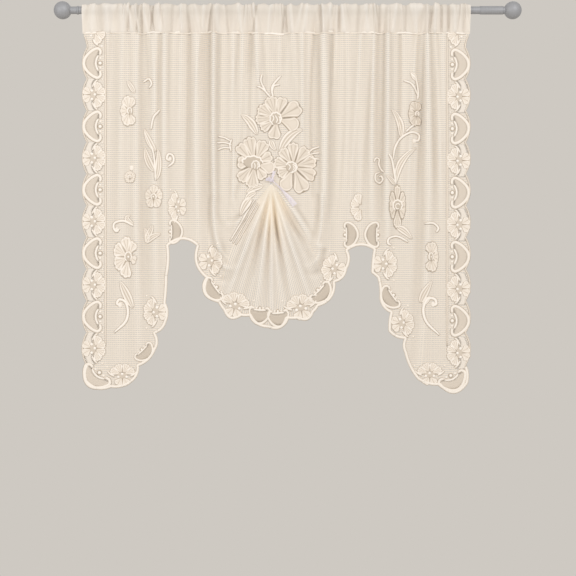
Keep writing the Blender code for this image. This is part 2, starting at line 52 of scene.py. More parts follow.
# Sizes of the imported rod, its sleeve and its balls
ROD_RADIUS = 8.8 * MM
ROD_LEFT = -484 * MM
ROD_RIGHT = 500 * MM
SLEEVE_LEFT = 446 * MM
SLEEVE_RADIUS = 9.7 * MM
BALL_RADIUS = 20.6 * MM
BALL_CENTRE = 522 * MM
NECK_RADIUS = 8.6 * MM
COLLAR_RADIUS = 9.9 * MM
COLLAR_LENGTH = 5 * MM
COLLAR_EDGE = 1 * MM
FIT_GAP = 0.3 * MM
SLEEVE_GAP = 0.1 * MM
SLEEVE_BEVEL = (0.3 * MM, 0.2 * MM)
SLEEVE_INSET = 0.5 * MM

# How finely turned parts are made: a ball's rings and where they end, the sides, and the sharpest smooth edge
BALL_SAMPLES = 40
BALL_END = math.radians(179)
TURNED_SIDES = 64
SHARP_ANGLE = math.radians(35)

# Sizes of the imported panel: its sides, the seam and the scallops of both sides
PANEL_LEFT = -476 * MM
PANEL_RIGHT = 423 * MM
SEAM_DROP = 53 * MM
SCALLOP_PITCH = 73.5
SCALLOP_DEPTH = 10.5
SCALLOP_TOP = 86
SCALLOPS_A_SIDE = 10
EDGE_STEP = 4

# A crease fades from this share of its length on to this share of its rise
FADE_START = 0.6
FOOT_SHARE = 0.3

# The wide forms of the cloth: the belly of the swag, the knob at the tie, the neck of the fan, and the sway
TIE_X = -37 * MM
TIE_Z = -404 * MM
BELLY_RISE = 15 * MM
BELLY_SPREAD = (150 * MM, 165 * MM)
BELLY_CENTRE = (-37 * MM, -565 * MM)
KNOB_RISE = 8 * MM
KNOB_SPREAD = 24 * MM
KNOB_DROP = 0.4 * KNOB_SPREAD
NECK_SHARE = 0.15
NECK_LENGTH = 125 * MM
SWAY_PITCH = 235 * MM
SWAY_SHIFT = 0.31
SWAY_RISE = 7 * MM
SWAY_DROP = 850 * MM

# A notch of the hem, and how far the edge from it to the next notch swells outwards
Notch = namedtuple("Notch", "x z swell")
HEM = (
    Notch(-466, -823, 4),
    Notch(-468, -860, 11),
    Notch(-411, -874, 6),
    Notch(-361, -860, 5),
    Notch(-347, -825, 6),
    Notch(-308, -788, 6),
    Notch(-308, -749, 5),
    Notch(-282, -721, 5),
    Notch(-284, -679, 1),
    Notch(-280, -616, 3),
    Notch(-277, -546, -15),
    Notch(-209, -546, 14),
    Notch(-188, -621, 19),
    Notch(-160, -677, 1),
    Notch(-148, -695, 14),
    Notch(-108, -708, 1),
    Notch(-87, -708, 8),
    Notch(-44, -735, 13),
    Notch(-2, -714, 1),
    Notch(24, -714, 11),
    Notch(59, -700, 1),
    Notch(70, -686, 14),
    Notch(109, -630, 7),
    Notch(136, -600, 6),
    Notch(138, -557, -11),
    Notch(200, -555, 1),
    Notch(195, -608, 0),
    Notch(209, -620, -2),
    Notch(214, -667, 6),
    Notch(239, -701, 2),
    Notch(235, -744, 5),
    Notch(272, -761, 4),
    Notch(272, -794, 4),
    Notch(302, -855, 5),
    Notch(353, -869, 21),
    Notch(416, -865, 4),
    Notch(412.5, -823, 10.5),
)

# A crease runs from its top through its bend to its foot. A positive rise is a ridge towards the front.
Crease = namedtuple("Crease", "top_x top_z bend_x bend_z foot_x foot_z top_width foot_width rise")
CREASE_SAMPLES = 15
SIDE_FOLDS = (
    Crease(-402, -53, -404, -450, -410, -850, 12, 14, -4),
    Crease(-384, -53, -385, -450, -390, -860, 15, 18, 5),
    Crease(-352, -53, -352, -420, -347, -800, 9, 11, 7),
    Crease(-336, -53, -334, -420, -328, -780, 10, 12, -7),
    Crease(-308, -53, -309, -400, -304, -740, 9, 11, 6),
    Crease(-284, -53, -284, -300, -283, -600, 8, 10, 7),
    Crease(-229, -53, -230, -300, -233, -530, 9, 10, -7),
    Crease(-213, -53, -209, -330, -207, -600, 8, 10, 5),
    Crease(-189, -53, -185, -320, -186, -560, 11, 12, -10),
    Crease(-171, -53, -175, -350, -160, -550, 8, 9, 13),
    Crease(-127, -53, -126, -250, -128, -440, 7, 8, 5),
    Crease(-86, -53, -89, -110, -92, -180, 10, 8, -7),
    Crease(-71, -53, -69, -110, -72, -165, 8, 7, 5),
    Crease(-30, -53, -32, -95, -32, -140, 9, 8, -4),
    Crease(-6, -53, -8, -100, -9, -150, 8, 7, -5),
    Crease(31, -53, 33, -200, 32, -340, 7, 8, 5),
    Crease(64, -53, 63, -250, 61, -430, 11, 10, -8),
    Crease(84, -53, 88, -340, 76, -548, 10, 10, 12),
    Crease(103, -53, 105, -300, 104, -570, 9, 10, -6),
    Crease(135, -53, 137, -260, 134, -500, 12, 12, 3),
    Crease(168, -53, 166, -280, 165, -520, 11, 10, 4),
    Crease(197, -53, 196, -300, 196, -545, 8, 8, 6),
    Crease(214, -53, 213, -300, 214, -545, 10, 10, -7),
    Crease(231, -53, 232, -350, 230, -640, 7, 9, 8),
    Crease(258, -53, 258, -240, 256, -430, 8, 9, -4),
    Crease(302, -53, 309, -450, 288, -840, 11, 14, -10),
    Crease(322, -53, 326, -450, 306, -845, 9, 12, 6),
    Crease(342, -53, 342, -280, 341, -520, 8, 9, -5),
    Crease(358, -53, 360, -170, 361, -300, 8, 8, 4),
)

# Drapes of the swag towards the tie and the fan
SWAG_FOLDS = (
    Crease(-160, -548, -150, -590, -122, -597, 8, 7, 9),
    Crease(-168, -575, -160, -618, -122, -616, 8, 8, -5),
    Crease(76, -548, 68, -578, 46, -592, 8, 7, 6),
    Crease(84, -560, 74, -602, 44, -608, 8, 7, -5),
    Crease(-171, -430, -166, -525, -126, -590, 4, 4.5, 4.5),
    Crease(-180, -430, -176, -530, -136, -602, 4, 4.5, -3),
    Crease(78, -430, 75, -515, 54, -578, 4, 4.5, 4.5),
    Crease(69, -430, 64, -505, 46, -560, 4, 4.5, -3),
    Crease(-127, -330, -126, -430, -116, -486, 4, 4, 2.6),
    Crease(-178, -400, -164, -470, -130, -520, 7, 6, -2),
    Crease(-15, -422, 14, -458, 48, -514, 2, 3, 3),
    Crease(-100, -385, -124, -455, -96, -500, 5, 5, -2.5),
    Crease(-82, -446, -102, -473, -138, -485, 3, 5, -4.5),
    Crease(-90, -464, -108, -488, -142, -500, 3, 5, 3),
)

# Pleats of the fan, from the tie down
FAN_PLEATS = (
    Crease(-37, -404, -95, -462, -130, -538, 4, 8, 9),
    Crease(-37, -404, -84, -520, -142, -670, 4, 9, 13),
    Crease(-37, -404, -68, -540, -108, -690, 3, 10, -9),
    Crease(-37, -404, -52, -530, -76, -708, 3, 8, 8),
    Crease(-37, -404, -46, -560, -56, -716, 2, 6, -3),
    Crease(-37, -404, -37, -560, -38, -730, 3, 7, 7),
    Crease(-37, -404, -21, -545, 8, -700, 2, 9, -11),
    Crease(-37, -404, -2, -514, 53, -670, 4, 9, 13),
    Crease(-37, -404, 12, -496, 82, -632, 3, 10, -8),
    Crease(-37, -404, 6, -456, 62, -540, 4, 9, 9),
)

# Narrow folds from the seam down: where one starts, bends and ends across, its drop as a share of the
# longest, and its rise
Fine = namedtuple("Fine", "top bend foot share rise")
FINE_DROP = 430
FINE_WIDTHS = (3.4, 4.4)
FINE_FOLDS = (
    Fine(-410, -421, -421, 1, -1.5),
    Fine(-382, -389, -392, 1, 1.2),
    Fine(-371, -369, -369, 1, 2),
    Fine(-354, -354, -352, 1, -2),
    Fine(-330, -326, -322, 0.4, -2),
    Fine(-319, -310, -304, 0.4, 2),
    Fine(-296, -300, -302, 0.7, -3),
    Fine(-287, -289, -289, 1, 2.8),
    Fine(-273, -275, -276, 0.6, -2),
    Fine(-247, -250, -252, 0.6, 2.2),
    Fine(-229, -231, -234, 1, -3),
    Fine(-203, -216, -208, 1, 2.4),
    Fine(-180, -180, -180, 1, -4),
    Fine(-171, -171, -170, 1, 4.5),
    Fine(-158, -159, -160, 1, -2),
    Fine(-104, -112, -125, 1, 2.6),
    Fine(-114, -127, -137, 1, -3),
    Fine(-87, -88, -95, 0.7, -3.5),
    Fine(-78, -68, -60, 0.5, 3.2),
    Fine(-60, -53, -50, 0.4, -2.2),
    Fine(-30, -34, -36, 0.3, 2),
    Fine(3, 5, 7, 0.3, -2.2),
    Fine(15, 20, 22, 0.5, 2),
    Fine(35, 35, 36, 1, 2),
    Fine(62, 54, 66, 1, -4),
    Fine(77, 80, 78, 1, 4.5),
    Fine(103, 97, 96, 1, -3),
    Fine(112, 107, 104, 0.5, 2),
    Fine(130, 131, 114, 1, -2.4),
    Fine(170, 155, 143, 1, 2.8),
    Fine(196, 184, 172, 1, -3),
    Fine(201, 195, 190, 1, 2.6),
    Fine(223, 219, 214, 1, -4),
    Fine(233, 230, 223, 1, 4),
    Fine(261, 258, 247, 1, -3.4),
    Fine(300, 287, 276, 1, 3.4),
    Fine(316, 309, 300, 1, -4),
    Fine(326, 322, 315, 1, 2.4),
    Fine(332, 338, 345, 1, -3.4),
    Fine(342, 350, 356, 1, 3.4),
)

# Narrow pleats between the fan's own
FINE_PLEATS = (
    Crease(-42, -412, -80, -489, -116, -590, 2, 4, 3),
    Crease(-41, -426, -63, -507, -80, -615, 1.6, 4.5, -4.5),
    Crease(-40, -430, -51, -495, -63, -600, 1.6, 3.5, 3.5),
    Crease(-38, -430, -43, -510, -48, -620, 1.4, 2.6, -2.5),
    Crease(-37, -424, -36, -500, -37, -640, 1.4, 3, 2.5),
    Crease(-34, -436, -26, -508, -4, -608, 1.4, 4.5, -6),
    Crease(-31, -436, -31, -505, -22, -610, 1.4, 2.6, 3),
    Crease(-26, -430, -19, -498, 8, -590, 1.6, 4, 3.5),
    Crease(-17, -430, 5, -488, 42, -542, 1.8, 5, -5),
    Crease(-24, -414, 8, -460, 46, -524, 1.8, 4, 4),
    Crease(-28, -410, 18, -454, 60, -520, 1.8, 4, -3),
)

# The sides of the fan, between which its threads run along the pleats
FAN_LEFT = Crease(-37, -404, -122, -530, -163, -690, 0, 0, 0)
FAN_RIGHT = Crease(-37, -404, 37, -516, 101, -650, 0, 0, 0)
FAN_REACH = 1.13
FAN_ROWS = 70
FAN_LIFT = 0.3 * MM
FAN_OVERLAP = 3.5 * MM
FAN_SAMPLES = 1200
FAN_SIDE_SAMPLES = 25

# The fan's holes: how far down they start and are fully open, their width where closed up, where the threads'
# spacing is measured, and what a hole takes of a pitch both ways
FAN_SOLID = 0.24
FAN_OPEN = 0.62
FAN_CLOSED = 0.1
FAN_GAUGE = 0.8
FAN_HOLE_WIDE = 0.36
FAN_HOLE_TALL = 0.8

# Neighbouring threads of the fan are darker and paler by the stripe
FAN_STRIPE = 0.2

# The fan's painted fold shade down its length: start, slope and bend of its middle, start and slope of its
# contrast
FAN_TONE = (0.6, 0.3, -0.5)
FAN_CONTRAST = (0.2, 0.65)

# A fold's painted shade comes from its height over its surroundings, up to this many raster steps away: paler
# on a ridge, darker in a valley
FOLD_REACH = 8
FOLD_SPAN = 4 * MM

# Net: the threads' spacing, what a hole takes of it both ways, and the height where it is measured
PITCH = 4.8 * MM
HOLE_WIDE = 0.79
HOLE_TALL = 0.30
GAUGE_Z = -300 * MM
GAUGE_STEP = 0.5 * MM

# How far past the panel's sides the net's threads and the sliding of its columns start
NET_MARGIN = 8 * MM
SLIDE_MARGIN = 20 * MM
SLIDE_SAMPLES = 33

# Heading: gathers at their places along the rod, with their half widths and rises
Gather = namedtuple("Gather", "x width rise")
GATHERS = (
    Gather(-455, 5, 2.0),
    Gather(-431, 6, -1.5),
    Gather(-415, 9, 3.0),
    Gather(-384, 5, 1.5),
    Gather(-371, 2.6, -4.0),
    Gather(-362, 3.5, 3.5),
    Gather(-350, 2.4, -4.0),
    Gather(-345, 2.4, 4.0),
    Gather(-339, 2.2, -4.0),
    Gather(-328, 3.5, 3.0),
    Gather(-317, 2.4, -4.5),
    Gather(-310, 2.2, -4.0),
    Gather(-296, 4, 3.0),
    Gather(-270, 3, -2.0),
    Gather(-244, 4, 2.5),
    Gather(-228, 3, -2.5),
    Gather(-196, 4, 2.5),
    Gather(-183, 2.4, -3.5),
    Gather(-160, 4, 2.5),
    Gather(-138, 2.6, -2.5),
    Gather(-108, 3.5, 2.5),
    Gather(-80, 2.6, -4.5),
    Gather(-73, 3, 3.5),
    Gather(-45, 3.5, 2.0),
    Gather(-12, 2.2, -4.5),
    Gather(-2, 2.2, -4.5),
    Gather(10, 3.5, 2.5),
    Gather(38, 3.5, 2.0),
    Gather(77, 2.8, -5.0),
    Gather(83, 3, 3.5),
    Gather(101, 3, 2.0),
    Gather(119, 2.4, -4.0),
    Gather(131, 4, 2.5),
    Gather(160, 3.5, -2.0),
    Gather(185, 4, 2.5),
    Gather(212, 2.6, -2.5),
    Gather(243, 4, 2.0),
    Gather(272, 2.6, -2.5),
    Gather(300, 4, 2.5),
    Gather(328, 2.4, -4.5),
    Gather(340, 4, 3.5),
    Gather(356, 2.4, -4.0),
    Gather(373, 2.4, -4.0),
    Gather(388, 4, 3.0),
    Gather(408, 3, -2.0),
)

# Where the seam's stitches show lit as a thicker, paler cord, painted light between the folds' shade: its
# ends, its rise and its half width
SEAM_STRETCHES = (
    (-470, -418, 0.5, 1.6),
    (-370, -354, 5, 3.0),
    (-328, -296, 0, 1.5),
    (-262, -240, 1.5, 1.8),
    (-205, -190, 0, 1.6),
    (-186, -160, 2, 1.8),
    (-130, -112, 0.5, 1.5),
    (-84, -68, -1, 1.8),
    (-54, -8, -2, 1.9),
    (8, 18, 1, 1.6),
    (38, 64, 1, 1.6),
    (76, 106, 3.5, 1.9),
    (132, 144, 0, 1.6),
    (170, 214, 0.5, 1.5),
    (252, 290, 0, 1.6),
    (338, 348, 6, 2.0),
    (366, 412, 0, 1.6),
)

# Below the seam the gathers go on at a share of their rise and fade out. Above it each leans its own way
GATHER_FADE = 34 * MM
GATHER_BELOW_SEAM = 0.5
GATHER_LEAN = 7
GATHER_LEAN_RATE = 0.37
GATHER_LEAN_OVER = 60 * MM

# Waves of the gathered heading: pitch, phase in turns and share of the whole
Wave = namedtuple("Wave", "pitch phase share")
FRONT_WAVES = (Wave(61, 0.10, 0.45), Wave(37, 0.62, 0.35), Wave(23, 0.30, 0.20))
TOP_WAVES = (Wave(53, 0.55, 0.40), Wave(31, 0.05, 0.35), Wave(21, 0.80, 0.25))
BACK_WAVES = (Wave(57, 0.35, 0.45), Wave(34, 0.90, 0.35), Wave(25, 0.15, 0.20))

# Fine wrinkles between the gathers. They come in patches, and lean to both sides by up to the reach
WRINKLES = (Wave(17.3, 0.1, 0.45), Wave(11.1, 0.4, 0.35), Wave(7.7, 0.7, 0.2))
WRINKLE_PATCHES = (Wave(97, 0.2, 0.6), Wave(58, 0.7, 0.4))
WRINKLE_RISE = 2.4 * MM
WRINKLE_AT_SEAM = 0.15
LEAN_PITCH = 71 * MM
LEAN_PHASE = 0.3
LEAN_REACH = 13 * MM

# Heading: its tone is painted shade on its ripples, the middle one made paler on a ridge and darker in a
# valley by the share. The back's ripples are a share of the front's
HEAD_TONE_SPAN = 1.4 * MM
HEAD_TONE = 0.55
HEAD_TONE_SHARE = 0.45
HEAD_BACK_SHARE = 0.7
HEAD_COLUMNS = 800
HEAD_ROWS = 41
CLOTH_THICKNESS = 1.2 * MM
POCKET_REACH = 10.9 * MM
HEAD_SWELL = 7 * MM
HEAD_FOLD_SHARE = 0.6
TOP_SWELL = 6 * MM
SHOULDER_SLANT = math.radians(50)
SHOULDER_LIFT = 0.12
POCKET_ROWS = ((0.42, -31), (0.9, -11))

# Motifs of the border at the edge: kind, the place on the edge, the length of edge they fill, and which way
# is out, in degrees from the left over downwards to the right. Where a fold or a tight curve narrows or
# deepens a motif, reach is its depth over the usual one
Border = namedtuple("Border", "kind x z chord turn reach", defaults=(1.0,))
HEM_MOTIFS = (
    Border("scallop", -463, -872, 74, 50),
    Border("flower", -384, -872, 56, 90),
    Border("flower", -280, -700, 60, 180),
    Border("moon", -319, -807, 51, 135),
    Border("flower", -236, -456, 62, 180, 0.72),
    Border("moon", -242, -514, 54, 180),
    Border("flower", -206, -584, 60, 5),
    Border("moon", -192, -661, 60, 35),
    Border("flower", -129, -712, 63, 75),
    Border("moon", -67, -730, 48, 86, 1.45),
    Border("moon", -20, -737, 48, 94, 1.45),
    Border("flower", 35, -717, 63, 100),
    Border("moon", 93, -672, 60, 135),
    Border("flower", 133, -607, 60, 165),
    Border("half", 197, -457, 62, 180, 0.9),
    Border("moon", 165, -521, 58, 180),
    Border("moon", 177, -521, 58, 0),
    Border("flower", 198, -589, 60, 0),
    Border("moon", 219, -679, 58, 35),
    Border("flower", 240, -730, 58, 10),
    Border("flower", 330, -870, 56, 90),
    Border("scallop", 395, -883, 70, 115),
)

# Half of a bow as steps inwards and along from the middle of its edge, and the arc inside it
SCALLOP_CHORD = 73.5
SCALLOP_BOW = (
    (41, -19),
    (42, -28),
    (36, -34),
    (28, -32),
    (20, -27),
    (12.5, -20),
    (7, -13),
    (4.2, -6),
    (3.4, 0),
)
MOON_BOW = ((41, -20), (42, -29), (35, -36), (24, -33.5), (14, -26), (8, -17), (4.2, -8), (3.2, 0))
SCALLOP_ARC = ((37, -18), (33, -10), (31, 0), (33, 10), (37, 18))
MOON_ARC = ((37.5, -22), (37, -11), (36.5, 0), (37, 11), (37.5, 22))
FLOWER_CHORD = 58
BAND_INSET = 53
RIGHT_TOP = 89
RIGHT_PITCH = 74.3

# Flowers: centre, half width and half height of the whole, radius of the well, petals, and how pale the
# painted shadow line round every petal is. A petal is its angle, its share of the reach, its spread in
# degrees and its number of lobes, and a later petal lies over an earlier one
Flower = namedtuple("Flower", "x z wide tall well petals outline", defaults=(0.0,))
FIVE_PETALS = ((90, 1, 74, 3), (18, 1, 74, 3), (-54, 1, 74, 3), (-126, 1, 74, 3), (162, 1, 74, 3))
LEFT_HALF = ((70, 0.9, 60, 3), (-70, 0.9, 60, 3), (180, 0.9, 66, 3), (120, 1, 66, 3), (238, 1, 66, 3))
RIGHT_HALF = ((110, 0.9, 60, 3), (-110, 0.9, 60, 3), (0, 0.9, 66, 3), (60, 1, 66, 3), (-58, 1, 66, 3))
LEFT_FOLDED = (
    (-20, 0.55, 60, 2),
    (58, 0.8, 50, 2),
    (258, 1, 56, 3),
    (206, 0.96, 56, 4),
    (102, 0.95, 50, 3),
    (154, 1, 54, 4),
)
ROUND_A_CUP = (
    (-90, 1, 62, 4),
    (-150, 0.8, 50, 2),
    (-30, 0.8, 50, 2),
    (180, 0.85, 50, 2),
    (0, 0.85, 50, 2),
    (142, 0.92, 44, 2),
    (38, 0.92, 44, 2),
    (90, 1, 50, 3),
)
TOP_BLOOM = (
    (-99, 0.84, 46, 2),
    (74, 0.9, 36, 2),
    (216, 0.76, 38, 3),
    (-20, 0.9, 50, 1),
    (180, 0.84, 44, 4),
    (30, 1.06, 50, 2),
    (146, 0.86, 44, 4),
    (108, 0.94, 44, 4),
)
LEFT_BLOOM = (
    (-58, 0.7, 44, 2),
    (-134, 0.9, 40, 3),
    (-98, 0.94, 42, 4),
    (176, 0.7, 56, 2),
    (-16, 0.8, 48, 1),
    (66, 0.94, 42, 3),
    (134, 0.98, 34, 2),
    (104, 1.04, 38, 3),
    (26, 0.74, 44, 2),
)
RIGHT_BLOOM = (
    (-114, 1.0, 44, 1),
    (-66, 1.08, 48, 2),
    (52, 0.94, 38, 2),
    (-22, 1.0, 40, 2),
    (16, 1.0, 40, 3),
    (-154, 0.72, 48, 4),
    (166, 0.84, 44, 4),
    (126, 0.88, 38, 3),
    (90, 0.96, 36, 3),
)
BLOSSOMS = (
    Flower(-25, -252, 60, 58, 0, TOP_BLOOM),
    Flower(-76, -356, 60, 62, 0, LEFT_BLOOM),
    Flower(13, -364, 56, 60, 0, RIGHT_BLOOM),
    Flower(-366, -234, 24, 37, 5, LEFT_HALF, 0.4),
    Flower(-366, -387, 13, 14, 4, FIVE_PETALS, 0.4),
    Flower(-310, -433, 21, 27, 5, FIVE_PETALS, 0.4),
    Flower(-370, -572, 36, 50, 8, LEFT_FOLDED, 0.4),
    Flower(299, -240, 21, 30, 4, LEFT_HALF),
    Flower(254, -456, 23, 50, 0, ROUND_A_CUP),
    Flower(332, -572, 20, 37, 5, RIGHT_HALF, 0.25),
)

# Dark wells with a bumpy bright rim: centre, half sizes, and the rim's first and last angle in degrees
Well = namedtuple("Well", "x z wide tall start end")
WELLS = (
    Well(-28, -252, 13, 14, -70, 250),
    Well(-82, -353, 23, 14, -10, 190),
    Well(8, -365, 13, 12, -100, 160),
    Well(254, -453, 11, 12, -60, 250),
)

# Smaller wells that lie over three of them
HOODS = (
    Well(-74, -361, 9, 11, -30, 215),
    Well(12, -367, 7, 8, -120, 100),
    Well(255, -455, 5, 6, 20, 300),
)

# Stitches in the wells: half width, then the points they run through
STAMENS = (
    (1.2, (-36, -260), (-32, -251), (-35, -244)),
    (1.2, (-27, -263), (-24, -254), (-29, -244)),
    (1.1, (-19, -260), (-18, -252), (-21, -246)),
    (1.2, (-78, -354), (-75, -361), (-77, -369)),
    (1.2, (-70, -354), (-68, -362), (-71, -370)),
    (1.2, (1, -357), (6, -364), (2, -372)),
    (1.2, (12, -361), (15, -367), (12, -373)),
)

# Leaves: root, middle, tip and half width
Leaf = namedtuple("Leaf", "root_x root_z middle_x middle_z tip_x tip_z width")
LEAVES = (
    Leaf(-71, -289, -87, -259, -108, -243, 7),
    Leaf(-18, -329, 5, -292, 35, -278, 8),
    Leaf(-39, -301, -36, -313, -27, -326, 5),
    Leaf(-354, -192, -364, -176, -371, -164, 4),
    Leaf(-306, -329, -322, -301, -333, -275, 5),
    Leaf(-308, -375, -324, -347, -331, -319, 6),
    Leaf(-306, -394, -299, -359, -301, -324, 6),
    Leaf(-331, -533, -319, -514, -313, -498, 5),
    Leaf(-329, -540, -313, -526, -294, -519, 5),
    Leaf(-329, -540, -326, -524, -333, -505, 5),
    Leaf(-359, -691, -375, -658, -389, -628, 7),
    Leaf(-357, -496, -373, -484, -364, -475, 4),
    Leaf(299, -164, 292, -152, 285, -143, 4),
    Leaf(264, -294, 259, -257, 241, -231, 6),
    Leaf(251, -401, 263, -354, 298, -319, 6),
    Leaf(249, -405, 240, -394, 228, -383, 4),
    Leaf(253, -504, 270, -512, 288, -531, 6),
    Leaf(309, -679, 319, -654, 335, -628, 6),
    Leaf(314, -686, 323, -672, 332, -665, 4),
    Leaf(-84, -436, -98, -452, -109, -478, 7),
    Leaf(-72, -424, -88, -430, -98, -444, 5),
    Leaf(-56, -409, -76, -412, -96, -424, 6),
)

# Sprigs and stems: half width, then the points they run through
SPRIGS = (
    (1.7, (-39, -203), (-55, -185), (-71, -176)),
    (1.7, (-50, -190), (-62, -166), (-60, -150)),
    (1.9, (-34, -203), (-36, -178), (-16, -152)),
    (1.5, (-36, -190), (-32, -176), (-18, -173)),
    (1.4, (-131, -304), (-146, -296), (-162, -292)),
    (1.4, (-130, -312), (-147, -307), (-165, -308)),
    (1.3, (-132, -320), (-148, -319), (-163, -324)),
    (1.4, (-129, -299), (-134, -312), (-131, -329)),
    (1.6, (44, -334), (57, -322), (74, -317)),
    (1.4, (46, -336), (60, -332), (74, -331)),
    (1.4, (47, -339), (60, -343), (74, -346)),
    (1.8, (-336, -166), (-322, -159), (-315, -171), (-322, -181)),
    (1.9, (-296, -231), (-310, -248), (-317, -278)),
    (1.5, (-306, -396), (-308, -359), (-313, -324), (-333, -280)),
    (2.1, (-278, -364), (-265, -352), (-266, -338), (-276, -334), (-280, -345), (-273, -350)),
    (2.3, (-357, -500), (-380, -489), (-401, -493), (-404, -505), (-397, -513), (-390, -506)),
    (2.6, (-403, -748), (-377, -723), (-371, -698), (-377, -677), (-390, -671), (-396, -680), (-388, -686)),
    (1.9, (286, -145), (298, -162), (303, -190), (301, -206)),
    (1.7, (269, -163), (288, -171), (301, -195)),
    (1.7, (274, -282), (292, -266)),
    (2.1, (244, -346), (250, -315), (267, -293), (289, -283), (305, -289), (303, -301), (294, -303)),
    (2.1, (251, -402), (242, -351), (234, -335)),
    (1.9, (280, -538), (255, -525), (235, -529), (232, -541), (240, -545)),
    (1.9, (318, -495), (338, -494), (350, -505), (345, -515)),
    (2.6, (353, -754), (322, -723), (315, -692), (325, -670), (341, -670), (345, -681), (337, -686)),
    (1.2, (-76, -440), (-103, -484), (-133, -536)),
    (0.9, (-71, -447), (-97, -491), (-127, -541)),
    (0.7, (-66, -452), (-91, -496), (-120, -545)),
    (1.5, (199, -353), (204, -343), (212, -346), (211, -357), (216, -368), (224, -376)),
    (1.5, (213, -376), (203, -381), (203, -395), (213, -401), (221, -394), (218, -385), (211, -387)),
)

# Single buds and seeds: place and radius
BUDS = (
    (-362, -366, 5),
    (294, -303, 4),
    (-389, -684, 5),
    (338, -682, 5),
    (-397, -508, 4),
    (-273, -345, 4),
)
LEAF_SWELL = 1.25
SPRIG_SWELL = 0.95
STITCH_RISE = 0.8 * MM

# Every raised form stands on a skirt, whose darker tone is painted shadow round the form. Forms that lie over
# others are raised by whole overlaps
SKIRT = 0.9 * MM
SKIRT_LIFT = 0.75 * MM
SKIRT_WIDTH = 1.5 * MM
OVERLAP = 0.25 * MM
WELL_LEVEL = 1.7 * MM
BACK_SHARE = 0.4

# A cord: the places across it, its samples' spacing and their least and greatest number, how its ends narrow,
# and how much darker its sides are painted, as shade on their round
CORD_RISE = 1.5 * MM
CORD_ACROSS = (-1.0, -0.95, -0.6, 0.0, 0.6, 0.95, 1.0)
CORD_SPACING = 2.6 * MM
CORD_SAMPLES = (5, 60)
CORD_TAPER = 2.2
CORD_ROUNDING = 0.8
CORD_SIDE_SHADE = 0.35

# A petal: its outline narrows towards the sides and waves with its lobes. PETAL_ROWS are the distances of its
# outer rows from its tip, RIM_AT and LINE_AT those of its rim and its line, in millimetres on a deep petal
PETAL_RISE = 1.1 * MM
PETAL_TONE = 0.46
PETAL_PALER = 0.45
PETAL_DEPTH = 34
PETAL_ROWS = (0, 0, 0.9, 2.0, 3.4, 5.0, 7.5)
PETAL_NARROWS = 0.2
PETAL_LOBE = 0.07
PETAL_FOOT = 0.62
RIM_AT = 2.0
LINE_AT = 5.0
RIM_WIDTH = 1.5
GROOVE_WIDTH = 0.3
ROOT_REACH = 0.2
DARKEST = 0.05

# Where along a petal its rim grows from its share at the root, and where along and how far inside the outline
# its grooves deepen: each a start and a length
RIM_AT_ROOT = 0.3
RIM_ALONG = (0.3, 0.4)
GROOVE_ALONG = (0.1, 0.3)
GROOVE_INSIDE = (1.6, 2)

# What the rim, the line, the grooves, the brink and the root add to a petal's height and to its tone. The
# tone paints a highlight on the raised rim, shade in the sunken line, grooves and brink, and darkens the root
PETAL_BODY = 0.6
PETAL_HEIGHTS = (0.4, -0.15, -0.45, -0.3, 0)
PETAL_SHADES = (0.36, -0.1, -0.5, -0.5, -0.25)

# A leaf: the places across it, its width at the tip, its vein's half width and brightness, its bright edges'
# place and half width, and the height and tone of its body and what a bright part adds to them. The bright
# vein and edges are painted highlights on raised parts
LEAF_ACROSS = (-1, -0.97, -0.75, -0.45, -0.2, 0, 0.2, 0.45, 0.75, 0.97, 1.0)
LEAF_SAMPLES = 13
LEAF_TIP = 0.08
VEIN_WIDTH = 0.14
VEIN_SHARE = 0.8
LEAF_EDGE_AT = 0.84
LEAF_EDGE_WIDTH = 0.21
LEAF_HEIGHTS = (0.35, 0.6)
LEAF_TONES = (0.15, 0.95)

# A dome: its sides and the angles of its rings
DOME_SIDES = 16
DOME_ANGLES = (0, 0.35, 0.8, 1.2, 1.45)

# A well: the tone and rise of its ellipse, and its rim's bumps in a turn and their depth. The rim of a small
# flower's well runs from the first to the second angle
WELL_TONE = 0.12
WELL_RISE = 0.4 * MM
RIM_RISE = 1.0 * MM
RIM_BUMPS = 9
RIM_BUMP = 0.07
RING_ANGLES = (-60, 240)

# Border: the cords of its bows, arcs, stems and edges, and the line beside each side border
BORDER_OUTLINE = 0.4
BOW_WIDTH = 2.9
BOW_TONE = 0.85
ARC_WIDTH = 1.9
ARC_TONE = 0.95
STEM_WIDTH = 1.5
STEM_TONE = 0.9
EDGE_SKIRT = 0.4
LINE_WIDTH = 1.0
LINE_TONE = 0.6
LINE_SKIRT = 0.5
LINE_RISE = 0.6 * MM
LINE_STEPS = range(-60, -800, -40)

# The edge's cord along a side and along the hem: in how many parts, its half width and its tone
SIDE_CORD = (4, 0.7, 0.7)
HEM_CORD = (12, 2.3, 0.88)

# That cord lies inside the edge by this share of its half width and this margin
CORD_INSET = 0.6
CORD_MARGIN = 0.4

# The sheer grounds: their lift and their tones
GROUND_LIFT = 1.0 * MM
SCALLOP_GROUND = 0.38
MOON_GROUND = 0.2
EDGE_GROUND = 0.8

# Seam: how far its stitches lie over the seam's height, the tone of their skirt, and how deep they are sunk
SEAM_RISE = 0.5
SEAM_SKIRT = 0.65
SEAM_LEVEL = -1.0 * MM
SEAM_SAMPLES = 450
SEAM_PARTS = 18

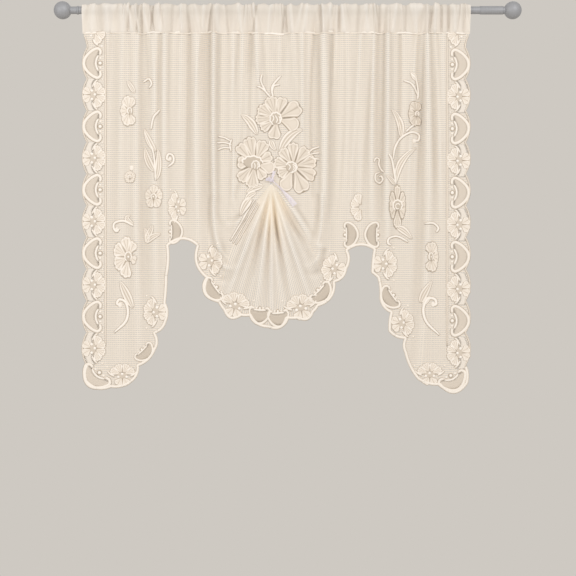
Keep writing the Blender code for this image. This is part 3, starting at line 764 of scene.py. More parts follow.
# Ribbon: the knot's height over the tie, its distance from the cloth, and how far the band round it goes
# right, forwards and up. A loop has the way to its tip, its depth, the way its width lies and its widths.
# The end runs through steps right and up from the knot, with lifts
KNOT_LIFT = 8
KNOT_OUT = 4.5
KNOT_BAND = (5.2, 4.2, 0.8)
KNOT_WIDTHS = (7, 6, 7)
KNOT_CURL = 0.4
LOOP_CURL = 0.6
LOOP_GAP = 0.25
RIBBON_LOOPS = (
    ((6, 0, 22), 2.4, (0.96, 0, -0.27), (3, 5.5, 7, 6, 3)),
    ((-14, 0, 3), 2.0, (0.2, 0, 0.98), (3, 6, 7.5, 6, 3)),
    ((-8, 0, 8), 1.6, (0.7, 0, 0.7), (3, 5, 6, 5, 3)),
)
RIBBON_END = ((0, 0, 3), (8, -7, 4.5), (19, -17, 3.2), (31, -30, 3.4), (43, -44, 3.0), (54, -58, 3.6))
RIBBON_END_WIDTHS = (3, 3.5, 5, 11, 13)
RIBBON_END_CURL = 1.6
RIBBON_END_REACH = 6 * MM
RIBBON_SAMPLES = 33
RIBBON_COLUMNS = 7

# Colours, as straight sRGB. The tone attribute runs from shade over cream to light
CREAM = (240, 230, 218)
SHADE = (190, 177, 161)
LIGHT = (255, 250, 244)
CREAM_AT = 0.55
THREAD_DARK = (231, 221, 207)
THREAD_PALE = (240, 231, 219)
# Painted backlight: the warm colour of the glow at the tie
BACKLIT_WARM = (243, 230, 203)
ROD_SHADOW = (178, 177, 166)
SATIN_DARK = (222, 213, 226)
SATIN_PALE = (244, 240, 247)
STEEL_DARK = (155, 157, 162)
STEEL_PALE = (177, 179, 184)
FLOOR_DARK = (212, 208, 202)
FLOOR_PALE = (222, 218, 212)
BACKDROP = (206, 201, 194)

# Materials: the scales of their patterns to a metre, how deep these are, and the roughness from least to most
BUMP_STRENGTH = 0.5
MOTTLE_SCALE = 240
PATCH_SCALE = 9
FIBRE_SCALE = 1400
FIBRE_DEPTH = 0.15 * MM
THREAD_ROUGHNESS = (0.78, 0.92)
SATIN_STREAKS = (900, 300, 90)
SATIN_SLANT = math.radians(45)
SATIN_DEPTH = 0.1 * MM
SATIN_ROUGHNESS = (0.22, 0.40)
SATIN_SHEEN = 0.3
SATIN_ALPHA = 0.7
STEEL_STREAKS = (900, 60, 60)
STEEL_DEPTH = 0.05 * MM
STEEL_ROUGHNESS = (0.50, 0.65)
STEEL_METALLIC = 0.3
FLOOR_GRAIN = 30
FLOOR_ROUGHNESS = 0.9

# Painted backlight: the warm glow at the tie is an upright ellipse, whose place and shape its shift and scale
# undo
BACKLIT_SHIFT = (0.085, 0, 0.46)
BACKLIT_SCALE = (2.5, 0, 1)
BACKLIT_RADII = (0.02, 0.10)
BACKLIT_SHARE = 0.75

# Painted shade of the rod through the pocket: a band a little below its middle, from none at the outer half
# width to the whole share at the inner one
ROD_BAND_DROP = 5 * MM
ROD_BAND = (14 * MM, 2 * MM)

# Studio: the lights look at one point in the cloth, and the floor lies far below
Light = namedtuple("Light", "name place size power")
LIGHTS = (
    Light("key_light", (2.1, -4.35, 1.65), 1.5, 88),
    Light("fill_light", (-1.9, -2.2, 0.1), 1.4, 20),
    Light("back_light", (0.6, 2.0, 0.6), 1.6, 10),
)
LIGHTS_AIM = (0, 0, -0.45)
FLOOR_REACH = 3
FLOOR_HEIGHT = -2
CAMERA_LENS = 85
CAMERA_PLACE = (0.0007, -3.155, -0.6443)


def smooth_step(value):
    """Rise from 0 to 1 with level ends: t*t*(3 - 2t)."""
    t = np.clip(value, 0.0, 1.0)
    return t * t * (3 - 2 * t)


def eased(value, start, length):
    """Rise from 0 at the start to 1 a length further on, with level ends."""
    return smooth_step((value - start) / length)


def wave_sum(x, waves):
    """Between 0 and 1: half plus half the sum of share*sin(x/pitch + phase)."""
    total = sum(w.share * np.sin(TURN * (x / (w.pitch * MM) + w.phase)) for w in waves)
    return 0.5 + 0.5 * total


def gather_ripple(x, z=-SEAM_DROP):
    """The sum of the gathers, each rise*exp(-(distance/width)^2).

    Above the seam a gather leans by sin(rate*x), x being its own place.
    """
    total = np.zeros(np.broadcast_shapes(np.shape(x), np.shape(z)))
    rise = (z + SEAM_DROP) / GATHER_LEAN_OVER
    for g in GATHERS:
        centre = (g.x + GATHER_LEAN * math.sin(GATHER_LEAN_RATE * g.x) * rise) * MM
        total = total + g.rise * MM * np.exp(-(((x - centre) / (g.width * MM)) ** 2))
    return total


def wrinkle(x, z):
    """Fine wrinkles in patches, weaker down to the seam: rise*fade*patches*waves(x + lean*height)."""
    up = np.clip((z + SEAM_DROP) / GATHER_LEAN_OVER, 0, 1)
    lean = LEAN_REACH * np.sin(TURN * (x / LEAN_PITCH + LEAN_PHASE))
    fine = 2 * wave_sum(x + lean * up, WRINKLES) - 1
    fade = WRINKLE_AT_SEAM + (1 - WRINKLE_AT_SEAM) * up
    return WRINKLE_RISE * fine * wave_sum(x, WRINKLE_PATCHES) * fade


def crease_curve(row, t):
    """Points of the quadratic curve through a row's first three places: (1-t)^2*a + 2t(1-t)*c + t^2*b.

    Its control point c is 2*middle - (a + b)/2.
    """
    t = np.asarray(t)[..., None]
    start, middle, end = (np.array(place) * MM for place in zip(row[0:6:2], row[1:6:2]))
    control = 2 * middle - (start + end) / 2
    return (1 - t) ** 2 * start + 2 * t * (1 - t) * control + t**2 * end


def fine_crease(row):
    """A narrow fold as a crease from the seam down."""
    top = -SEAM_DROP / MM
    foot = top - FINE_DROP * row.share
    return Crease(row.top, top, row.bend, (top + foot) / 2, row.foot, foot, *FINE_WIDTHS, row.rise)


def crease_relief(x, z, crease):
    """rise*fade*exp(-(distance/width)^2) about the nearest point of the crease."""
    path = crease_curve(crease, np.linspace(0, 1, CREASE_SAMPLES))
    nearest = np.full(x.shape, np.inf)
    along = np.zeros(x.shape)
    for k in range(len(path) - 1):
        step = path[k + 1] - path[k]
        t = np.clip(((x - path[k, 0]) * step[0] + (z - path[k, 1]) * step[1]) / (step @ step), 0, 1)
        away = np.hypot(x - path[k, 0] - t * step[0], z - path[k, 1] - t * step[1])
        closer = away < nearest
        nearest = np.where(closer, away, nearest)
        along = np.where(closer, (k + t) / (len(path) - 1), along)
    width = (crease.top_width + (crease.foot_width - crease.top_width) * along) * MM
    fade = 1 - (1 - FOOT_SHARE) * smooth_step((along - FADE_START) / (1 - FADE_START))
    return crease.rise * MM * fade * np.exp(-((nearest / width) ** 2))


def local_mean(raster, reach):
    """The mean over a square of 2*reach + 1 steps, by running sums along both axes."""
    for axis in (0, 1):
        pad = [(reach + 1, reach) if a == axis else (0, 0) for a in (0, 1)]
        total = np.moveaxis(np.cumsum(np.pad(raster, pad, mode="edge"), axis=axis), axis, 0)
        width = 2 * reach + 1
        raster = np.moveaxis((total[width:] - total[:-width]) / width, 0, axis)
    return raster


class Cloth:
    """The relief of the cloth on an even raster, with its two slopes.

    cover is the height a straight thread has over a narrow valley, fold the height over the surroundings.
    """

    step = 1.25 * MM
    left, right, bottom, top = -500 * MM, 450 * MM, -905 * MM, -30 * MM

    def __init__(self):
        """Add belly, knob, sway and every crease, each crease only inside its own box."""
        self.xs = np.arange(self.left, self.right, self.step)
        self.zs = np.arange(self.bottom, self.top, self.step)
        x, z = np.meshgrid(self.xs, self.zs, indexing="ij")
        belly = np.exp(
            -(((x - BELLY_CENTRE[0]) / BELLY_SPREAD[0]) ** 2)
            - ((z - BELLY_CENTRE[1]) / BELLY_SPREAD[1]) ** 2
        )
        knob = np.exp(-((x - TIE_X) ** 2 + (z - TIE_Z + KNOB_DROP) ** 2) / KNOB_SPREAD**2)
        sway = np.sin(TURN * (x / SWAY_PITCH + SWAY_SHIFT)) * (-z - SEAM_DROP) / SWAY_DROP
        total = BELLY_RISE * belly + KNOB_RISE * knob + SWAY_RISE * sway
        below = np.clip(-z - SEAM_DROP, 0, None)
        total += GATHER_BELOW_SEAM * gather_ripple(x) * np.exp(-below / GATHER_FADE)
        opened = NECK_SHARE + (1 - NECK_SHARE) * smooth_step(np.hypot(x - TIE_X, z - TIE_Z) / NECK_LENGTH)
        for crease in (*SIDE_FOLDS, *SWAG_FOLDS, *(fine_crease(row) for row in FINE_FOLDS)):
            self.add_crease(total, crease, None)
        for crease in FAN_PLEATS:
            self.add_crease(total, crease, opened)
        for crease in FINE_PLEATS:
            self.add_crease(total, crease, opened**2)
        self.height = total
        self.cover = np.maximum(total, (np.roll(total, 2, 0) + np.roll(total, -2, 0)) / 2)
        self.fold = total - local_mean(total, FOLD_REACH)
        self.across, self.down = np.gradient(total, self.step)

    def add_crease(self, total, crease, share):
        """Add one crease's relief, times a share raster where there is one."""
        path = crease_curve(crease, np.linspace(0, 1, CREASE_SAMPLES))
        reach = 3 * MM * max(crease.top_width, crease.foot_width)
        i = np.searchsorted(self.xs, (path[:, 0].min() - reach, path[:, 0].max() + reach))
        k = np.searchsorted(self.zs, (path[:, 1].min() - reach, path[:, 1].max() + reach))
        part = (slice(*i), slice(*k))
        x, z = np.meshgrid(self.xs[part[0]], self.zs[part[1]], indexing="ij")
        added = crease_relief(x, z, crease)
        total[part] += added if share is None else added * share[part]

    def sample(self, raster, x, z):
        """The raster between its points, by the bilinear formula."""
        # Just short of the last point, so that every place has a point after it
        last = np.array(raster.shape) - 1.001
        fx = np.clip((x - self.left) / self.step, 0, last[0])
        fz = np.clip((z - self.bottom) / self.step, 0, last[1])
        i, k = fx.astype(int), fz.astype(int)
        fx, fz = fx - i, fz - k
        low = raster[i, k] * (1 - fx) + raster[i + 1, k] * fx
        high = raster[i, k + 1] * (1 - fx) + raster[i + 1, k + 1] * fx
        return low * (1 - fz) + high * fz

    def painted_fold_shade(self, x, z, middle=0.5, share=0.55):
        """middle + share*tanh(height over the surroundings / FOLD_SPAN): painted shade, a ridge paler and a
        valley darker.
        """
        return middle + share * np.tanh(self.sample(self.fold, x, z) / FOLD_SPAN)

    def point(self, x, z, lift=0.0, over=False):
        """(x, -height, z) + lift times the unit normal (-across, -1, -down).

        For what lies over the net's threads, the height is the cover.
        """
        height = self.sample(self.cover if over else self.height, x, z)
        normal = np.stack(
            (-self.sample(self.across, x, z), -np.ones_like(x), -self.sample(self.down, x, z)), -1
        )
        normal /= np.linalg.norm(normal, axis=-1, keepdims=True)
        return np.stack((x, -height, z), -1) + normal * np.asarray(lift)[..., None]


def swell_edge(start, end, swell, step):
    """start + t*run + 4t(1 - t)*swell*outward, at even steps of t."""
    start, end = np.array(start, float), np.array(end, float)
    run = end - start
    length = float(np.linalg.norm(run))
    count = max(2, round(length / step))
    t = np.arange(count)[:, None] / count
    return start + t * run + 4 * t * (1 - t) * swell * np.array((run[1], -run[0])) / length


def hem_notches():
    """All notches of the panel's edge, down the left side, along the hem and up the right side."""
    left_x = PANEL_LEFT / MM + SCALLOP_DEPTH
    right_x = PANEL_RIGHT / MM - SCALLOP_DEPTH
    heights = [-(SCALLOP_TOP + k * SCALLOP_PITCH) for k in range(SCALLOPS_A_SIDE)]
    left = [Notch(left_x, z, SCALLOP_DEPTH) for z in heights]
    right = [Notch(right_x, z, SCALLOP_DEPTH) for z in reversed(heights)]
    right[-1] = right[-1]._replace(swell=-2)
    first = Notch(PANEL_LEFT / MM, -SEAM_DROP / MM, -2)
    last = Notch(PANEL_RIGHT / MM, -SEAM_DROP / MM, 0)
    return [first, *left, *HEM, *right, last]


def panel_edge(step):
    """The edge below the seam as points in metres, from the seam's left end round to its right end."""
    notches = hem_notches()
    runs = [
        swell_edge((a.x, a.z), (b.x, b.z), a.swell, step) for a, b in zip(notches[:-1], notches[1:])
    ]
    return np.concatenate((*runs, [(notches[-1].x, notches[-1].z)])) * MM


def inside_edge(x, z, edge):
    """Which points lie inside a closed edge, by counting its crossings of a ray to the right."""
    inside = np.zeros(x.shape, bool)
    for (ax, az), (bx, bz) in zip(edge, np.roll(edge, -1, axis=0)):
        if az != bz:
            spans = (az > z) != (bz > z)
            inside ^= spans & (x < ax + (z - az) * (bx - ax) / (bz - az))
    return inside


def nearest_on(points, edge):
    """The nearest point of a closed edge to each point: a + clip(t)*(b - a) on the nearest side."""
    a, b = edge, np.roll(edge, -1, axis=0)
    run = b - a
    t = ((points[:, None] - a) * run).sum(-1) / np.maximum((run**2).sum(-1), TINY)
    foot = a + np.clip(t, 0, 1)[..., None] * run
    away = np.linalg.norm(points[:, None] - foot, axis=-1)
    best = away.argmin(axis=1)
    return foot[np.arange(len(points)), best]


def linear(colour):
    """An sRGB colour from 0 to 255 as linear RGBA: ((c + 0.055)/1.055)^2.4 above the toe."""
    c = np.array(colour) / 255
    return (*np.where(c <= 0.04045, c / 12.92, ((c + 0.055) / 1.055) ** 2.4).tolist(), 1.0)


def add_mesh(name, points, faces, material, tone=None):
    """A new smooth object at the origin from whole arrays, with an optional tone at every point."""
    mesh = bpy.data.meshes.new(name)
    faces = faces if isinstance(faces, list) else faces.tolist()
    mesh.from_pydata(points.reshape(-1, 3).tolist(), [], faces)
    if tone is not None:
        tones = mesh.attributes.new("tone", "FLOAT", "POINT")
        tones.data.foreach_set("value", np.asarray(tone, np.float32).ravel())
    mesh.shade_smooth()
    mesh.materials.append(material)
    item = bpy.data.objects.new(name, mesh)
    bpy.context.collection.objects.link(item)
    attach(item, "root")
    return item


def grid_faces(rows, columns):
    """The faces of a grid whose points run along the columns first, front outwards."""
    index = np.arange(rows * columns).reshape(rows, columns)
    return np.stack((index[:-1, :-1], index[1:, :-1], index[1:, 1:], index[:-1, 1:]), -1).reshape(-1, 4)


def kept_mesh(x, z, keep, tone):
    """Points, faces and tones of the kept cells of a grid: only used points stay, in their order."""
    faces = grid_faces(*x.shape).reshape(*keep.shape, 4)[keep]
    used, faces = np.unique(faces, return_inverse=True)
    return x.ravel()[used], z.ravel()[used], faces.reshape(-1, 4), tone.ravel()[used]


def ring_faces(index):
    """The faces between closed rings of points, front outwards where the rings turn left as they go on."""
    after = np.roll(index, -1, axis=1)
    return np.stack((index[:-1], after[:-1], after[1:], index[1:]), -1).reshape(-1, 4).tolist()


def middles(grid):
    """The middle of each cell of a grid, halfway between two of its corners."""
    return (grid[:-1, :-1] + grid[1:, 1:]) / 2


def flat_area(keep):
    """What the kept threads measure when flat: a pitch by a pitch for each of their crossings."""
    return len(np.flatnonzero(keep[1::2, 1::2])) * PITCH**2


def laid_on(cloth, x, z, edge, lift=0.0):
    """Places on the cloth as points. A place outside the edge first goes to the nearest point of the edge."""
    outside = ~inside_edge(x, z, edge)
    placed = np.stack((x, z), -1)
    placed[outside] = nearest_on(placed[outside], edge)
    return cloth.point(placed[:, 0], placed[:, 1], lift)


def threads(steps, hole):
    """Grid lines at k and k + hole for each step k."""
    return np.sort(np.concatenate((np.arange(steps + 1), np.arange(steps) + hole)))


def slide(x, z):
    """Move places at the gauge height to other heights, by as much as the side folds on both sides move.

    Between two folds that is moved[k]*(1 - share) + moved[k + 1]*share.
    """
    t = np.linspace(0, 1, SLIDE_SAMPLES)
    paths = [crease_curve(crease, t)[::-1] for crease in SIDE_FOLDS]
    gauge = np.array([np.interp(GAUGE_Z, p[:, 1], p[:, 0]) for p in paths])
    moved = np.stack([np.interp(z, p[:, 1], p[:, 0]) for p in paths]) - gauge[:, None]
    moved = np.concatenate((np.zeros((1, len(z))), moved, np.zeros((1, len(z)))))
    gauge = np.concatenate(([PANEL_LEFT - SLIDE_MARGIN], gauge, [PANEL_RIGHT + SLIDE_MARGIN]))
    k = np.clip(np.searchsorted(gauge, x) - 1, 0, len(gauge) - 2)
    share = ((x - gauge[k]) / (gauge[k + 1] - gauge[k]))[:, None]
    return x[:, None] + moved[k] * (1 - share) + moved[k + 1] * share


def field_threads(cloth, edge, fan_edge):
    """The net outside the fan, with its threads one pitch apart along the folds at the gauge height.

    Every second cell both ways is a hole.
    """
    x = np.arange(PANEL_LEFT - NET_MARGIN, PANEL_RIGHT + NET_MARGIN, GAUGE_STEP)
    y = cloth.sample(cloth.height, x, np.full_like(x, GAUGE_Z))
    arc = np.concatenate(([0], np.cumsum(np.hypot(np.diff(x), np.diff(y)))))
    columns = int(arc[-1] / PITCH)
    rows = int((-SEAM_DROP - edge[:, 1].min()) / PITCH) + 2
    u, v = threads(columns, HOLE_WIDE), threads(rows, HOLE_TALL)
    across = np.interp(u * PITCH, arc, x)
    down = -SEAM_DROP - (v - 0.5) * PITCH
    x = slide(across, down)
    z = np.broadcast_to(down, x.shape).copy()
    keep = inside_edge(middles(x), middles(z), edge) & ~inside_edge(middles(x), middles(z), fan_edge)
    keep[::2, ::2] = False
    # The net's tone is painted fold shade: paler on ridges, darker in valleys
    x, z, faces, tone = kept_mesh(x, z, keep, cloth.painted_fold_shade(x, z))
    return laid_on(cloth, x, z, edge), faces, flat_area(keep), tone


def fan_lines(t):
    """The fan's two sides with its pleats between them, at the given places along them."""
    return np.stack([crease_curve(line, t) for line in (FAN_LEFT, *FAN_PLEATS[1:-1], FAN_RIGHT)])


def fan_contour():
    """A closed line a little inside the fan, down its left side, past the hem and up its right side."""
    lines = fan_lines(np.linspace(0, FAN_REACH, FAN_SIDE_SAMPLES))
    inset = np.array((FAN_OVERLAP, 0))
    return np.concatenate((lines[0] + inset, lines[1:-1, -1], lines[-1, ::-1] - inset))


def fan_threads(cloth, edge):
    """The net of the fan. Its threads run from the tie and are evenly spread along the folds at its gauge.

    Towards the tie the threads close up, and near it there are no holes.
    """
    v = threads(FAN_ROWS, FAN_HOLE_TALL) / FAN_ROWS
    lines = fan_lines(v * FAN_REACH)
    gauge = fan_lines(np.full(1, FAN_GAUGE * FAN_REACH))[:, 0]
    fine = np.linspace(0, len(gauge) - 1, FAN_SAMPLES)
    x = np.interp(fine, np.arange(len(gauge)), gauge[:, 0])
    z = np.interp(fine, np.arange(len(gauge)), gauge[:, 1])
    y = cloth.sample(cloth.height, x, z)
    arc = np.concatenate(([0], np.cumsum(np.sqrt(np.diff(x) ** 2 + np.diff(y) ** 2 + np.diff(z) ** 2))))
    columns = int(arc[-1] / PITCH)
    opened = smooth_step((v - FAN_SOLID) / (FAN_OPEN - FAN_SOLID))
    steps = threads(columns, FAN_HOLE_WIDE)
    steps = np.floor(steps)[:, None] + (steps % 1)[:, None] * (FAN_CLOSED + (1 - FAN_CLOSED) * opened)
    u = np.interp(steps * PITCH, arc, fine)
    k = np.clip(u.astype(int), 0, len(gauge) - 2)
    share = (u - k)[..., None]
    row = np.arange(len(v))
    grid = lines[k, row] * (1 - share) + lines[k + 1, row] * share
    x, z = grid[..., 0], grid[..., 1]
    keep = inside_edge(middles(x), middles(z), edge)
    solid = int(FAN_SOLID * FAN_ROWS) * 2
    holes = np.zeros_like(keep)
    holes[::2, solid::2] = True
    area = flat_area(keep)
    stripe = np.where(np.arange(x.shape[0]) % 2, FAN_STRIPE, -FAN_STRIPE)[:, None]
    middle = FAN_TONE[0] + FAN_TONE[1] * v + FAN_TONE[2] * v**2
    contrast = FAN_CONTRAST[0] + FAN_CONTRAST[1] * v
    # The fan's tone is painted fold shade on its pleats, with the stripe of its threads
    tone = cloth.painted_fold_shade(x, z, middle, contrast) + stripe
    x, z, faces, tone = kept_mesh(x, z, keep & ~holes, tone)
    return laid_on(cloth, x, z, edge, FAN_LIFT), faces, area, tone


def build_net(cloth, edge, material):
    """The whole net below the seam as one cloth. Its flat size is its threads' spacing times their count."""
    field, field_faces, field_area, field_tone = field_threads(cloth, edge, fan_contour())
    fan, fan_faces, fan_area, fan_tone = fan_threads(cloth, edge)
    points = np.concatenate((field, fan))
    faces = np.concatenate((field_faces, fan_faces + len(field)))
    net = add_mesh("lace_net", points, faces, material, tone=np.concatenate((field_tone, fan_tone)))
    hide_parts("lace_panel")


def smooth_rows(points, count):
    """A Catmull-Rom curve through the rows of points, between p1 and p2 of each four in turn:

    (2p1 + (p2 - p0)*t + (2p0 - 5p1 + 4p2 - p3)*t^2 + (3p1 - p0 - 3p2 + p3)*t^3)/2.
    """
    padded = np.concatenate((2 * points[:1] - points[1:2], points, 2 * points[-1:] - points[-2:-1]))
    s = np.linspace(0, len(points) - 1, count)
    k = np.clip(s.astype(int), 0, len(points) - 2)
    t = (s - k).reshape(-1, *[1] * (points.ndim - 1))
    p0, p1, p2, p3 = (padded[k + i] for i in range(4))
    square, cube = 2 * p0 - 5 * p1 + 4 * p2 - p3, 3 * p1 - p0 - 3 * p2 + p3
    return (2 * p1 + (p2 - p0) * t + square * t**2 + cube * t**3) / 2


def build_heading(cloth, material):
    """The pocket from the front of the seam over the rod to the back of the seam, rippled by the gathers."""
    x = np.linspace(PANEL_LEFT, PANEL_RIGHT, HEAD_COLUMNS)
    seam = cloth.sample(cloth.height, x, np.full_like(x, -SEAM_DROP))
    front = POCKET_REACH + HEAD_SWELL * wave_sum(x, FRONT_WAVES) + HEAD_FOLD_SHARE * np.clip(seam, 0, None)
    back = POCKET_REACH + HEAD_SWELL * wave_sum(x, BACK_WAVES)
    top = POCKET_REACH + TOP_SWELL * wave_sum(x, TOP_WAVES)
    shoulder = top * math.sin(SHOULDER_SLANT)

    def row(y, z):
        """A row of points along the rod: (x, y, z)."""
        return np.stack((x, y, np.broadcast_to(z, x.shape)), -1)

    def side(out, middle, sign):
        """One side's rows from the seam up: y = middle + (out - middle)*share, then round the shoulder."""
        low = [row(sign * (middle + (out - middle) * share), z * MM) for share, z in POCKET_ROWS]
        high = [
            row(sign * out, shoulder * SHOULDER_LIFT),
            row(sign * out * math.cos(SHOULDER_SLANT), shoulder),
        ]
        return low + high

    rows = [row(-seam, -SEAM_DROP), *side(front, seam, -1), row(0 * x, top)]
    rows += [*reversed(side(back, -seam, 1)), row(-seam + CLOTH_THICKNESS, -SEAM_DROP)]
    points = smooth_rows(np.stack(rows), HEAD_ROWS)
    across = np.gradient(points, axis=0)
    out = np.stack((np.zeros_like(points[..., 0]), -across[..., 2], across[..., 1]), -1)
    out /= np.linalg.norm(out, axis=-1, keepdims=True)
    round_rod = np.clip(np.hypot(points[..., 1], points[..., 2]) - POCKET_REACH, 0, None)
    ripple = gather_ripple(points[..., 0], points[..., 2]) + wrinkle(points[..., 0], points[..., 2])
    # Painted shade on the ripples: paler on a ridge, darker in a valley
    tone = HEAD_TONE + HEAD_TONE_SHARE * np.tanh(ripple / HEAD_TONE_SPAN)
    ripple = np.maximum(ripple * np.where(points[..., 1] < 0, 1.0, HEAD_BACK_SHARE), -round_rod)
    ripple[[0, -1]] = 0
    points = points + out * ripple[..., None]
    faces = grid_faces(HEAD_ROWS, HEAD_COLUMNS)[:, ::-1]
    heading = add_mesh("lace_heading", points, faces, material, tone=tone)
    return heading


# A raised form as rings of points: places in the cloth's plane, lifts from it and tones
Form = namedtuple("Form", "place lift tone")


def closed_form(place, lift, tone):
    """Front points, then back points inwards again at -BACK_SHARE times the front's lift."""
    back = slice(-2, 0, -1)
    lift = np.broadcast_to(lift, place.shape[:2])
    return Form(
        np.concatenate((place, place[:, back]), axis=1),
        np.concatenate((lift, -BACK_SHARE * lift[:, back]), axis=1),
        np.concatenate((tone, tone[:, back]), axis=1),
    )


def ways_along(path):
    """The unit way of a path at each of its points."""
    along = np.gradient(path, axis=0)
    return along / np.linalg.norm(along, axis=1, keepdims=True)


def right_of(path):
    """The unit way to the right of a flat path at each of its points."""
    along = ways_along(path)
    return np.stack((along[:, 1], -along[:, 0]), -1)


def strip_places(path, width, b):
    """Places across a strip: path + (width*b + skirt)*right. The skirt lies outside the outermost ones."""
    reach = width * b + SKIRT_WIDTH * np.where(np.abs(b) < 1, 0, b)
    return path[:, None] + right_of(path)[:, None] * reach[..., None]


def cord(points, width, tone=1.0, rise=CORD_RISE, ends=0.35, level=0.0, skirt=0.0):
    """A flat cord along a smooth path: path + b*width*taper*right, lift rise*taper*sqrt(1 - (0.95b)^2).

    A skirt of its own tone lies along both of its sides as painted shadow, and the cord's own sides are
    painted darker as shade.
    """
    points = np.array(points, float) * MM
    run = np.linalg.norm(np.diff(points, axis=0), axis=1).sum()
    path = smooth_rows(points, int(np.clip(run / CORD_SPACING, *CORD_SAMPLES)))
    t = np.linspace(0, 1, len(path))[:, None]
    taper = ends + (1 - ends) * np.minimum(1, CORD_TAPER * np.sin(math.pi * t) ** CORD_ROUNDING)
    b = np.array(CORD_ACROSS)
    inner = np.abs(b) < 1
    lift = SKIRT + level + rise * taper * np.sqrt(1 - (0.95 * b) ** 2)
    lift = np.where(inner, lift, SKIRT_LIFT + min(level, 0))
    # Painted shade: the cord darker towards its sides, and its skirts in their own tone as painted shadow
    tones = np.where(inner, tone * (1 - CORD_SIDE_SHADE * b**4), skirt) * np.ones_like(t)
    return closed_form(strip_places(path, width * MM * taper, b), lift, tones)


def mixed(start, shares, parts):
    """start plus the sum of share*part."""
    return sum((share * part for share, part in zip(shares, parts)), start)


def near(value, place, width):
    """1 at a place and less on both sides of it: exp(-((value - place)/width)^2)."""
    return np.exp(-(((value - place) / width) ** 2))


def petal(centre, angle, root, reach, spread, lobes, squash=(1.0, 1.0), level=0.0, outline=0.0):
    """A petal with grooves between its round lobes, and a rim between a brink and a faint line. The rim
    carries a painted highlight, and the grooves, the brink and the line painted shade.

    b runs across it and s along it: r = root + (tip(b) - root)*s at angle - spread/2*b*(0.62 + 0.38s), with
    tip(b) = reach*(1 - 0.2|b|^3)*(0.93 + 0.07w) and w = |sin(lobes*pi*(b + 1)/2)|. The rim follows the
    distance d from the petal's sides and tip, and fades towards its root. outline is the tone of the skirt,
    whose darkness is painted shadow round the petal.
    """
    depth = reach - root
    fine = min(1.0, depth / PETAL_DEPTH)
    s = 1 - fine * np.array(PETAL_ROWS) / depth
    s = np.concatenate((np.linspace(0, s[-1], 5)[:-1], s[::-1]))[:, None]
    b = np.concatenate(([-1], np.linspace(-1, 1, 8 * max(lobes, 2) + 1), [1]))[None]
    edge = np.zeros((s.size, b.size), bool)
    edge[-1] = edge[:, 0] = edge[:, -1] = True
    wave = np.abs(np.sin(lobes * math.pi * (b + 1) / 2))
    tip = reach * (1 - PETAL_NARROWS * np.abs(b) ** 3) * (1 - PETAL_LOBE + PETAL_LOBE * wave)
    r = root + (tip - root) * s
    half = math.radians(spread / 2) * (PETAL_FOOT + (1 - PETAL_FOOT) * s)
    d = np.minimum((1 - s) * depth, (1 - np.abs(b)) * half * r) / fine
    outer = np.sign(b) * (np.arange(b.size) % (b.size - 1) == 0)
    a = math.radians(angle) - half * b - outer * SKIRT_WIDTH / MM / np.maximum(r, 4)
    r = (r + SKIRT_WIDTH / MM * (np.arange(s.size) == s.size - 1)[:, None]) * MM
    x = centre[0] * MM + r * np.cos(a) * squash[0]
    z = centre[1] * MM + r * np.sin(a) * squash[1]
    rim = near(d, RIM_AT, RIM_WIDTH) * (RIM_AT_ROOT + (1 - RIM_AT_ROOT) * eased(s, *RIM_ALONG))
    line = near(d, LINE_AT, RIM_WIDTH)
    groove = near(wave, 0, GROOVE_WIDTH) * eased(d, *GROOVE_INSIDE) * eased(s, *GROOVE_ALONG)
    parts = (rim, line, groove, smooth_step(1 - d), near(s, 0, ROOT_REACH))
    lift = SKIRT + level + PETAL_RISE * mixed(PETAL_BODY, PETAL_HEIGHTS, parts)
    # Painted highlight on the rim, painted shade in the line, grooves and brink, and a darker root
    tone = mixed(PETAL_TONE + PETAL_PALER * outline, PETAL_SHADES, parts)
    lift = np.where(edge, SKIRT_LIFT, lift)
    tone = np.where(edge, outline, np.clip(tone, DARKEST, 1))
    return closed_form(np.stack((x, z), -1), lift, tone)


def leaf(row):
    """A leaf along its curve: half width w*sin(pi*t^0.8)^0.8, with painted highlights on its raised edges and
    vein.
    """
    t = np.linspace(0, 1, LEAF_SAMPLES)[:, None]
    path = crease_curve(row, t[:, 0])
    b = np.array(LEAF_ACROSS)
    inner = np.abs(b) < 1
    width = LEAF_SWELL * row.width * MM * (LEAF_TIP + (1 - LEAF_TIP) * np.sin(math.pi * t**0.8) ** 0.8)
    vein, edges = near(b, 0, VEIN_WIDTH), near(np.abs(b), LEAF_EDGE_AT, LEAF_EDGE_WIDTH)
    bright = np.minimum(1, VEIN_SHARE * vein + edges)
    swell = np.sin(math.pi * np.clip(t, 0.02, 0.98)) ** 0.5
    height = LEAF_HEIGHTS[0] + LEAF_HEIGHTS[1] * bright
    lift = np.where(inner, SKIRT + PETAL_RISE * swell * height, SKIRT_LIFT)
    # Painted highlights on the raised vein and edges, painted shadow in the skirt
    tone = np.where(inner, np.minimum(1, LEAF_TONES[0] + LEAF_TONES[1] * bright), 0.0) * np.ones_like(t)
    return closed_form(strip_places(path, width, b), lift, tone)


def dome(centre, radius, tone=1.0, rise=CORD_RISE, squash=(1.0, 1.0), level=0.0):
    """A round stitch: rings at angle q from rim to middle, radius*cos(q) wide and rise*sin(q) high."""
    turns = np.linspace(0, TURN, DOME_SIDES + 1)[:-1]
    q = np.array(DOME_ANGLES)[:, None]
    outline = np.stack((np.cos(turns) * squash[0], np.sin(turns) * squash[1]), -1)
    size = radius * MM * np.cos(q)
    front = np.array(centre) * MM + outline[None] * size[..., None]
    lift = np.broadcast_to(SKIRT + level + rise * np.sin(q), (len(q), DOME_SIDES))
    place = np.concatenate((front[::-1], front[1:]))
    lift = np.concatenate((-BACK_SHARE * lift[::-1], lift[1:]))
    return Form(place, lift, np.full(lift.shape, tone))


